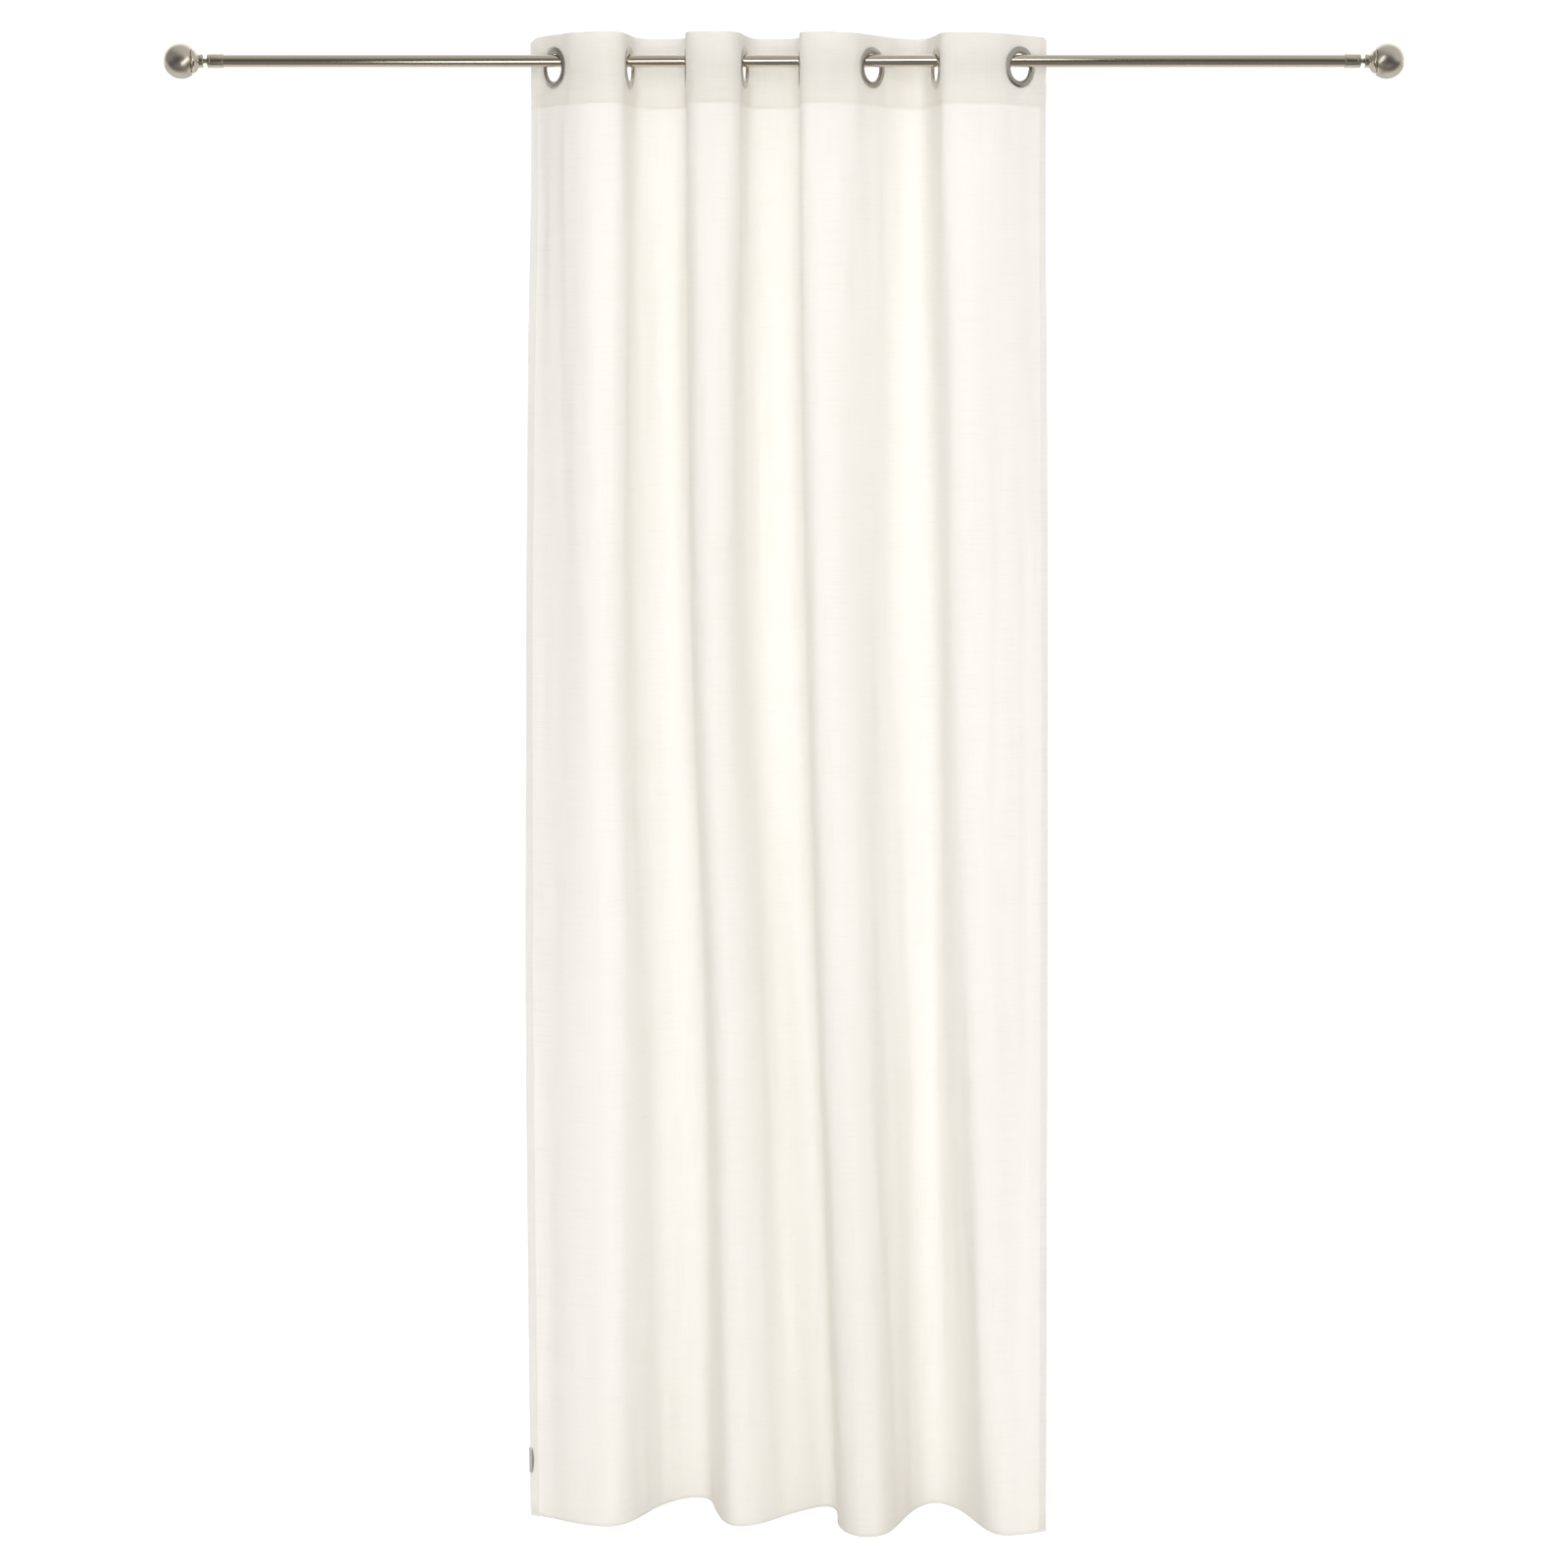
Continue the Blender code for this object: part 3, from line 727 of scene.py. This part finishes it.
def turnedPiece(name, profile, steps, matrix, closed=False, edges=()):
    # profile is radius and height; the piece turns about its own Z before the matrix places it
    build = bmesh.new()
    place = build.verts.layers.float_vector.new("turnedPlace")
    edge = build.verts.layers.float.new("edge")
    rows = []
    travelled = 0.0
    for k, (radius, height) in enumerate(profile):
        if k:
            travelled += math.dist(profile[k], profile[k - 1])
        away = min((math.dist((radius, height), spot) for spot in edges), default=None)
        worn = 0.0 if away is None else math.exp(-(away / edgeWear) ** 2)
        count = 1 if radius < 1e-6 else steps
        row = []
        for i in range(count):
            angle = 2 * math.pi * i / steps
            x, y = radius * math.cos(angle), radius * math.sin(angle)
            vert = build.verts.new((x, y, height))
            vert[place] = (travelled, x, y)
            vert[edge] = worn
            row.append(vert)
        rows.append(row)
    skinRows(build, list(zip(rows, rows[1:])) + ([(rows[-1], rows[0])] if closed else []), steps)
    bmesh.ops.transform(build, matrix=matrix, verts=build.verts)
    bmesh.ops.recalc_face_normals(build, faces=build.faces)
    return addMesh(name, build, sharpAngle["metal"])


def finishPiece(piece, material, nodes=()):
    piece.data.materials.append(materials[material])
    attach(piece, "root")
    if nodes:
        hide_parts(*nodes)


rodParts = {
    "half": 0.9147, "sides": 96, "bands": 64, "lipIn": 0.0012, "lipRound": 0.0003, "lipBack": 0.0001,
    "sleeveIn": 0.9012, "sleeveOut": 0.9264, "sleeveRadius": 0.0114, "sleeveBore": 0.0104,
    "sleeveGroove": (0.0040, 0.0044, 0.0052, 0.0056), "sleeveGrooveDeep": 0.0005,
    "neckRadius": 0.0043, "neckEnd": 0.9325,
    "collarRadius": 0.0110, "collarGrooveAt": 0.9395, "flareStart": 0.9405, "flareEnd": 0.9485,
    "flareLead": 0.0012, "collarRim": 0.0195, "rimBreak": 0.0004, "collarEnd": 0.9512,
    "waistIn": 0.0024, "waistBack": 0.0032, "groove": 0.0010,
    "ballRadius": 0.0285, "ballCentre": 0.9695, "ballSteps": 40,
    "sleeveRound": 0.0006, "collarRound": 0.0007,
}


def makeRod():
    p = rodParts
    half = p["half"]
    rows = [(rodRadius, -half + 2 * half * k / p["bands"]) for k in range(1, p["bands"])]
    ends = [(rodRadius - p["lipIn"], -half), (rodRadius - p["lipRound"], -half + p["lipBack"])]
    profile = [(0.0, -half)] + ends + rows + [(r, -z) for r, z in reversed(ends)] + [(0.0, half)]
    piece = turnedPiece("rodTube", profile, p["sides"], Matrix.Rotation(math.pi / 2, 4, "Y"))
    finishPiece(piece, "rodMetal", ["rod"])


def capProfile():
    p = rodParts
    radius, out, inside = p["sleeveRadius"], p["sleeveOut"], p["half"] + clearance
    depths = (0.0, p["sleeveGrooveDeep"], p["sleeveGrooveDeep"], 0.0)
    sleeve = [
        (0.0, p["neckEnd"]), (p["neckRadius"], p["neckEnd"]), (p["neckRadius"], out), (radius, out),
        *((radius - deep, out - back) for deep, back in zip(depths, p["sleeveGroove"])),
        (radius, p["sleeveIn"]), (p["sleeveBore"], p["sleeveIn"]), (p["sleeveBore"], inside), (0.0, inside),
    ]
    return roundProfile(sleeve, p["sleeveRound"])


def collarProfile():
    p = rodParts
    start = p["neckEnd"] + clearance
    collar = [
        (0.0, p["collarEnd"]),
        (p["collarRim"] - p["rimBreak"], p["collarEnd"]),
        (p["collarRim"], p["collarEnd"] - 2 * p["rimBreak"]),
        (p["collarRim"], p["flareEnd"]),
        (p["collarRim"] - p["waistIn"], p["flareEnd"] - p["waistBack"]),
        (p["collarRadius"] + p["flareLead"], p["flareStart"] + p["flareLead"]),
        (p["collarRadius"], p["flareStart"]),
        (p["collarRadius"] - p["groove"], p["collarGrooveAt"]),
        (p["collarRadius"], p["collarGrooveAt"] - p["groove"]),
        (p["collarRadius"], start), (0.0, start),
    ]
    return roundProfile(collar, p["collarRound"])


def ballProfile():
    p = rodParts
    radius, centre, steps = p["ballRadius"], p["ballCentre"], p["ballSteps"]
    flatBelow = centre - p["collarEnd"] - clearance
    endAngle = math.acos(-flatBelow / radius)
    angles = [endAngle * k / steps for k in range(steps + 1)]
    arc = [(radius * math.sin(a), centre + radius * math.cos(a)) for a in angles]
    return arc + [(0.0, centre - flatBelow)]


def wornEdges(profile):
    # the collar's rim, and the sleeve's lip over the rod
    p = rodParts
    return [(r, z) for r, z in profile if abs(r - p["collarRim"]) < 0.0003
            or (abs(r - p["sleeveRadius"]) < 0.00005 and z < p["sleeveIn"] + 0.001)]


def makeRodEnds():
    made = (("endCap", capProfile(), "end_cap", 64, "rodMetal"),
            ("finialCollar", collarProfile(), "finial_collar", 72, "rodMetal"),
            ("finialBall", ballProfile(), "finial_ball", 72, "ballMetal"))
    for side, turn in (("left", -math.pi / 2), ("right", math.pi / 2)):
        matrix = Matrix.Rotation(turn, 4, "Y")
        for name, profile, node, steps, metal in made:
            edges = () if name == "finialBall" else wornEdges(profile)
            piece = turnedPiece(name + side.capitalize(), profile, steps, matrix, edges=edges)
            finishPiece(piece, metal, [f"{node}_{side}"])


def ringProfile():
    # two pressed halves: rolled throat, domed face, a fine bead and the turned rim
    r = ring
    upper = [
        (r["throat"], 0.0),
        (r["throat"], r["throatEdge"]),
        (r["throat"] + 0.0013, r["crown"] * 0.78),
        (r["throat"] + r["crownIn"], r["crown"]),
        (r["rim"] - r["crownOut"] - 0.0006, r["crown"] - r["crownFall"]),
        (r["rim"] - r["crownOut"] + 0.0002, r["crown"] - r["crownFall"] - 0.0002),
        (r["rim"] - 0.0003, r["grip"] + 0.0007),
        (r["rim"], r["grip"] + 0.0001),
        (r["rim"] - 0.0004, r["grip"]),
        (r["groove"], r["grip"]),
    ]
    lower = [(radius, -height) for radius, height in reversed(upper[1:])]
    return roundProfile(upper + lower, r["cornerRound"], closed=True)


def makeRings():
    profile = ringProfile()
    edges = [(radius, side * height) for side in (1, -1)
             for radius, height in ((ring["throat"] + 0.0005, 0.0020), (ring["rim"] - 0.0003, 0.0022))]
    for i, row in enumerate(foldTable):
        turnMatrix = Euler((math.pi / 2, 0.0, -math.radians(row[5]))).to_matrix().to_4x4()
        matrix = Matrix.Translation(Vector((row[0], 0.0, -ringDrops[i]))) @ turnMatrix
        name = f"eyeletRing{i + 1}"
        piece = turnedPiece(name, profile, ring["steps"], matrix, closed=True, edges=edges)
        finishPiece(piece, "eyeletMetal", [f"eyelet_{i + 1}"])


makeRod()
makeRodEnds()
makeRings()
print("metal pieces made")


# the hanging cloth

panel = {
    "half": 0.00030,            # half thickness of one layer
    "sideHem": 0.0150,          # width of the doubled side hems
    "hemLayer": 0.00055,        # how much the folded layer adds at the back
    "edgeRoll": 0.0042,         # narrow rolled hem at the bottom
    "rollHalf": 0.0011,
    "edgeShare": 0.35,          # thickness left at the very edge
    "column": 0.0050,
    "row": 0.0185,
}


def panelHeights():
    roll = panel["edgeRoll"]
    top = [seamZ, seamZ - 0.0015, seamZ - 0.006]
    bottom = [hemZ + roll + 0.0010] + [hemZ + roll * share for share in (1.0, 0.8, 0.5, 0.2, 0.05, 0.0)]
    return joinSteps(top, evenSteps(top[-1], bottom[0], panel["row"]), bottom)


def makePanel():
    hem = panel["sideHem"]
    side = [0.0, 0.0005, 0.0014, 0.0050, 0.0095, hem - 0.0012, hem - 0.0004, hem + 0.0003, hem + 0.0012]
    stations, heights = acrossSteps(side, panel["column"]), panelHeights()
    s, z = (grid.ravel() for grid in np.meshgrid(stations, heights))
    points, normals = clothSurface(s, z, panelRelief)
    fromEdge = np.minimum(s, clothWidth - s)
    doubled = 1 - easeStep(fromEdge, hem - 0.0004, hem + 0.0003)
    closing = panel["edgeShare"] + (1 - panel["edgeShare"]) * easeStep(fromEdge, 0.0, 0.0012)
    fromHem = np.clip((z - hemZ) / panel["edgeRoll"], 0.0, 1.0)
    roll = np.sqrt(np.maximum(1 - (2 * fromHem - 1) ** 2, 0.0)) * panel["rollHalf"]
    front = (panel["half"] + 0.0001 * doubled) * closing
    back = (panel["half"] + panel["hemLayer"] * doubled) * closing
    inRoll = fromHem < 1.0
    front, back = (np.where(inRoll, np.maximum(roll, panel["half"] * 0.5), flat) for flat in (front, back))
    layers = 1 + np.maximum(doubled, np.where(inRoll, 1.0, 0.0))
    places = np.stack((s, topZ - z, np.zeros_like(s)), axis=-1)
    piece = closedShell("hangingCloth", points, normals, gridFaces(len(heights), len(stations)),
                        front, back, places, layers)
    finishPiece(piece, "panelCloth", ["curtain_panel"])
    return piece


# the stiffened heading, with a hole behind each ring

heading = {
    "half": 0.00100,
    "edgeHalf": 0.00040,        # half thickness at the folded top and the seam
    "column": 0.0040,
    "row": 0.0038,
    "sideHem": 0.0150,
}


def headingHeights():
    top = [topZ, topZ - 0.0004, topZ - 0.0012, topZ - 0.0026]
    bottom = [seamZ + 0.0030, seamZ + 0.0016, seamZ + 0.0006, seamZ + 0.0001]
    return joinSteps(top, evenSteps(top[-1], bottom[0], heading["row"]), bottom)


def makeHeading():
    stations, heights = acrossSteps([0.0, 0.0006, 0.0018, 0.0040], heading["column"]), headingHeights()
    flat = np.stack(np.meshgrid(stations, heights), axis=-1).reshape(-1, 2)
    faces = gridFaces(len(heights), len(stations))
    keep = np.ones(len(faces), bool)
    rims = []
    for at, drop in zip(eyeletStations, ringDrops):
        centre = np.array((at, -drop))
        away = np.linalg.norm(flat - centre, axis=1)
        cut = (away[faces] < ring["clothHole"] + 0.001).any(axis=1)
        rims.append((centre, np.unique(faces[cut])))
        keep &= ~cut
    kept = np.unique(faces[keep])
    for centre, cutCorners in rims:
        rim = np.intersect1d(cutCorners, kept)
        flat[rim] = centre + unitRows(flat[rim] - centre) * ring["clothHole"]
    s, z = flat[:, 0], flat[:, 1]
    points, normals = clothSurface(s, z, headingRelief)
    fromEdge = np.minimum(s, clothWidth - s)
    fromFold = np.minimum(topZ - z, z - seamZ)
    full = np.minimum(easeStep(fromEdge, 0.0, 0.002), easeStep(fromFold, 0.0, 0.0028))
    half = heading["edgeHalf"] + (heading["half"] - heading["edgeHalf"]) * full
    layers = 2 - easeStep(fromEdge, heading["sideHem"] - 0.0005, heading["sideHem"] + 0.0005)
    places = np.stack((s, topZ - z, np.zeros_like(s)), axis=-1)
    piece = closedShell("headingBand", points, normals, faces[keep], half, half, places, layers)
    finishPiece(piece, "headingCloth", ["heading_band"])
    return piece


hangingCloth = makePanel()
headingBand = makeHeading()
print("cloth made:", len(hangingCloth.data.polygons), "and", len(headingBand.data.polygons), "faces")


# seams sewn with thread

stitch = {
    "length": 0.0026, "pitch": 0.0034, "radius": 0.00020, "sides": 5, "lift": 0.00012,
    # along one stitch: how far, how thick and how high
    "shares": (0.0, 0.18, 0.5, 0.82, 1.0), "widths": (0.0, 0.85, 1.0, 0.85, 0.0),
    "lifts": (-0.8, 0.35, 1.0, 0.35, -0.8),
}


def sewnRow(build, points, normals):
    # one thread bridge for each pair of needle holes along the points
    distance = distanceAlong(points)
    sides = [2 * math.pi * i / stitch["sides"] for i in range(stitch["sides"])]

    def valuesAt(at, table):
        return np.stack([np.interp(at, distance, table[:, c]) for c in range(3)], axis=-1)

    for k in range(int(distance[-1] / stitch["pitch"])):
        start = (k + 0.5) * stitch["pitch"] - stitch["length"] / 2
        at = start + stitch["length"] * np.array(stitch["shares"])
        place, up = valuesAt(at, points), unitRows(valuesAt(at, normals))
        along = unitRows(place[-1] - place[0])
        rows = []
        for p, n, width, lift in zip(place, up, stitch["widths"], stitch["lifts"]):
            middle = p + n * stitch["lift"] * lift
            if width == 0.0:
                rows.append([build.verts.new(middle)])
                continue
            across, reach = np.cross(along, n), stitch["radius"] * width
            rows.append([build.verts.new(middle + (across * math.cos(a) + n * math.sin(a)) * reach)
                         for a in sides])
        skinRows(build, zip(rows, rows[1:]), stitch["sides"])


def sewnPiece(name, rows):
    build = bmesh.new()
    for stations, heights, relief, standOff in rows:
        points, normals = clothSurface(stations, heights, relief)
        for side in (1, -1):
            sewnRow(build, points + normals * side * standOff[side], normals * side)
    bmesh.ops.recalc_face_normals(build, faces=build.faces)
    finishPiece(addMesh(name, build), "sewingThread")


def makeSeams():
    # for each seam how far the thread stands off the cloth's middle, at the front and at the back
    across = np.linspace(0.003, clothWidth - 0.003, 560)
    inHeading = dict.fromkeys((1, -1), heading["half"] + 0.0001)
    seamLine = np.full_like(across, seamZ + 0.0045)
    sewnPiece("headingSeam", [(across, seamLine, headingRelief, inHeading)])
    down = np.linspace(seamZ - 0.003, hemZ + 0.008, 260)
    inHem = {1: panel["half"] + 0.00015, -1: panel["half"] + panel["hemLayer"] + 0.0001}
    inset = panel["sideHem"] - 0.0020
    sewnPiece("sideHemSeams",
              [(np.full_like(down, at), down, panelRelief, inHem) for at in (inset, clothWidth - inset)])
    onRoll = dict.fromkeys((1, -1), panel["half"] + 0.0001)
    rollLine = np.full_like(across, hemZ + panel["edgeRoll"] + 0.0006)
    sewnPiece("bottomSeam", [(across, rollLine, panelRelief, onRoll)])


makeSeams()
print("seams sewn")


# the blank label, a ribbon folded over the left edge

label = {
    "topAboveHem": 0.118, "height": 0.043, "width": 0.020,
    "reach": 0.0074,            # how far it covers the cloth, at its middle
    "endReach": 0.62,           # the share of that at its top and bottom
    "half": 0.00022, "standOff": 0.00100, "rows": 36, "legPoints": 7, "bendPoints": 9,
}


def makeLabel():
    points, normals, places = [], [], []
    bend = np.linspace(0.0, math.pi, label["bendPoints"])
    legs = [(j + 1) / label["legPoints"] for j in range(label["legPoints"])]
    columns, off = 2 * len(legs) + len(bend), label["standOff"]
    for k in range(label["rows"]):
        share = k / (label["rows"] - 1)
        swell = math.sin(math.pi * share)
        z = hemZ + label["topAboveHem"] - label["height"] * share
        reach = label["reach"] * (label["endReach"] + (1 - label["endReach"]) * swell)
        edge, inward = clothPoints(np.array((0.0, reach)), np.array((z, z)))[:, :2]
        along = unitRows(inward - edge)
        across = np.array((along[1], -along[0]))
        # the front leg, the bend and the back leg: inward, forward, the face's turn, place on the ribbon
        row = [(reach * t, off, 0.0, reach * t) for t in reversed(legs)]
        row += [(-off * math.sin(a), off * math.cos(a), a, -off * a) for a in bend]
        row += [(reach * t, -off, math.pi, -off * math.pi - reach * t) for t in legs]
        for inwardBy, forwardBy, a, place in row:
            points.append((*(edge + along * inwardBy + across * forwardBy), z))
            normals.append((*(across * math.cos(a) - along * math.sin(a)), 0.0))
            places.append((place, z, 0.0))
    points, normals, places = np.array(points), np.array(normals), np.array(places)
    half = np.full(len(points), label["half"])
    piece = closedShell("sideRibbon", points, normals, gridFaces(label["rows"], columns), half, half,
                        places, np.ones(len(points)))
    finishPiece(piece, "labelRibbon", ["side_label"])
    return piece


sideRibbon = makeLabel()
print("label made")


# light, floor and camera

studio = {
    "skyBack": 1.84, "skyLeft": 0.38, "skyRight": 0.85, "skyUp": 0.85, "darkFront": 0.13,
    # where each part of the sky begins and is full, as parts of its direction
    "backRange": (0.15, 0.70), "sideRange": (-0.6, 0.6), "upRange": (0.62, 1.05),
    "darkToward": (0.0, -0.958, -0.287), "darkRange": (0.45, 0.93),
    "seen": 1.25,                           # what the camera sees, pure white
    "floorZ": -2.47, "floorReach": 30.0,
    # painted shade on the floor: a darker patch close under the hem stands in for the curtain's shadow
    "paintedHemShade": (0.46, 0.44, 0.40, 1), "hemShadeRange": (0.35, 0.75), "hemShadeSquash": 0.75,
    # painted shade on the floor: dark toward the camera, standing in for an unlit front, pale behind
    "paintedFrontShade": (0.16, 0.155, 0.15, 1), "floorBack": (0.90, 0.90, 0.90, 1), "frontShadeRange": (-1.0, 0.3),
}
photoView = {"lens": 75.96, "sensor": 36.0, "place": (0.0, -5.42, -0.517), "lookDown": 6.88,
             "near": 0.05, "far": 100.0}


def cameraSwitch(tree, lit, seen):
    # one shader for the camera's own rays and another for all light
    return mixShaders(tree, makeNode(tree, "LightPath")["Is Camera Ray"], lit, seen)


def blendValue(tree, share, first, second):
    # first where share is 0, second where it is 1
    return mathNode(tree, "MULTIPLY_ADD", share, mathNode(tree, "SUBTRACT", second, first), first)


def makeSky():
    # white for the camera; its light is strongest from behind, weaker from the left, dark in front
    world = bpy.data.worlds.new("studioSky")
    bpy.context.scene.world = world
    world.use_nodes = True
    tree = world.node_tree
    seen = tree.nodes["Background"]
    feed(tree, seen, {"Color": (1.0, 1.0, 1.0, 1.0), "Strength": studio["seen"]})
    toward = textureCoordinate(tree, "Generated")
    split = axesOf(tree, toward)
    behind = mapRange(tree, split["Y"], *studio["backRange"], 0.0, 1.0, True)
    aside = mapRange(tree, split["X"], *studio["sideRange"], studio["skyLeft"], studio["skyRight"], True)
    above = mapRange(tree, split["Z"], *studio["upRange"], 0.0, 1.0, True)
    facing = vectorMath(tree, "DOT_PRODUCT", toward, studio["darkToward"])["Value"]
    dark = mapRange(tree, facing, *studio["darkRange"], 0.0, 1.0, True)
    strength = blendValue(tree, above, aside, studio["skyUp"])
    strength = blendValue(tree, dark, strength, studio["darkFront"])
    strength = blendValue(tree, behind, strength, studio["skyBack"])
    light = makeNode(tree, "Background", {"Strength": strength})[0]
    setSurface(tree, cameraSwitch(tree, light, seen.outputs[0]), "World Output")


def roundCurtain(tree, split):
    # how far a place on the floor is from the curtain, which is wider than it is deep
    aside = mathNode(tree, "MULTIPLY", split["X"], studio["hemShadeSquash"])
    return vectorMath(tree, "LENGTH", makeNode(tree, "CombineXYZ", (aside, split["Y"]))[0])["Value"]


def makeFloor():
    # pale behind, with painted shade that only light rays see: a painted shadow darkens it close under the
    # hem, and it is darkest toward the camera as a painted unlit front
    reach = studio["floorReach"]
    spots = [(x * reach, y * reach, studio["floorZ"]) for x, y in ((-1, -1), (1, -1), (1, 1), (-1, 1))]
    mesh = bpy.data.meshes.new("studioFloor")
    mesh.from_pydata(spots, [], [(0, 1, 2, 3)])
    floor = addObject("studioFloor", mesh)
    material, tree, shader = newMaterial("floorWithPaintedShade")
    split = axesOf(tree, textureCoordinate(tree, "Object"))
    # painted shade: the floor's colour darkens toward the camera, as an unlit front would look
    backward = mapRange(tree, split["Y"], *studio["frontShadeRange"], 0.0, 1.0, True)
    tone = mixColour(tree, backward, studio["paintedFrontShade"], studio["floorBack"])
    # painted shadow: the floor's colour darkens close under the hem, where the curtain's shade would fall
    near = mapRange(tree, roundCurtain(tree, split), *studio["hemShadeRange"], 1.0, 0.0, True)
    feed(tree, shader, {"Base Color": mixColour(tree, near, tone, studio["paintedHemShade"]),
                        "Roughness": 0.9, "Specular IOR Level": 0.1})
    white = makeNode(tree, "Emission", {"Strength": studio["seen"]})[0]
    setSurface(tree, cameraSwitch(tree, shader.outputs[0], white))
    mesh.materials.append(material)


# the strip is seen only in the metal, the fill only lights the cloth; roll is in degrees
lamps = {
    "tiltedStrip": {"place": (-0.10, -0.92, -0.04), "aim": (-0.10, 0.0, -0.04), "roll": 36,
                    "width": 1.54, "height": 0.30, "power": 4.2, "lights": False, "shows": True},
    "frontFill": {"place": (0.0, -4.60, -0.60), "aim": (0.0, 0.0, -1.2), "roll": 0,
                  "width": 7.0, "height": 5.0, "power": 304.0, "lights": True, "shows": False},
}


def makeLamps():
    for name, given in lamps.items():
        lamp = bpy.data.lights.new(name, "AREA")
        lamp.shape = "RECTANGLE"
        lamp.size, lamp.size_y = given["width"], given["height"]
        lamp.energy = given["power"]
        thing = addObject(name, lamp)
        place = Vector(given["place"])
        turn = (Vector(given["aim"]) - place).to_track_quat("-Z", "Y").to_matrix()
        turned = turn @ Matrix.Rotation(math.radians(given["roll"]), 3, "Z")
        thing.matrix_world = Matrix.Translation(place) @ turned.to_4x4()
        thing.visible_camera = False
        thing.visible_diffuse = given["lights"]
        thing.visible_transmission = given["lights"]
        thing.visible_glossy = given["shows"]


def makeCamera():
    lens = bpy.data.cameras.new("photoCamera")
    lens.sensor_width, lens.lens = photoView["sensor"], photoView["lens"]
    lens.clip_start, lens.clip_end = photoView["near"], photoView["far"]
    camera = addObject("photoCamera", lens)
    camera.location = photoView["place"]
    camera.rotation_euler = (math.radians(90 - photoView["lookDown"]), 0.0, 0.0)
    bpy.context.scene.camera = camera


makeSky()
makeFloor()
makeLamps()
makeCamera()
bpy.context.scene.view_settings.view_transform = "Standard"
bpy.context.scene.cycles.diffuse_bounces = 6
print("studio set")
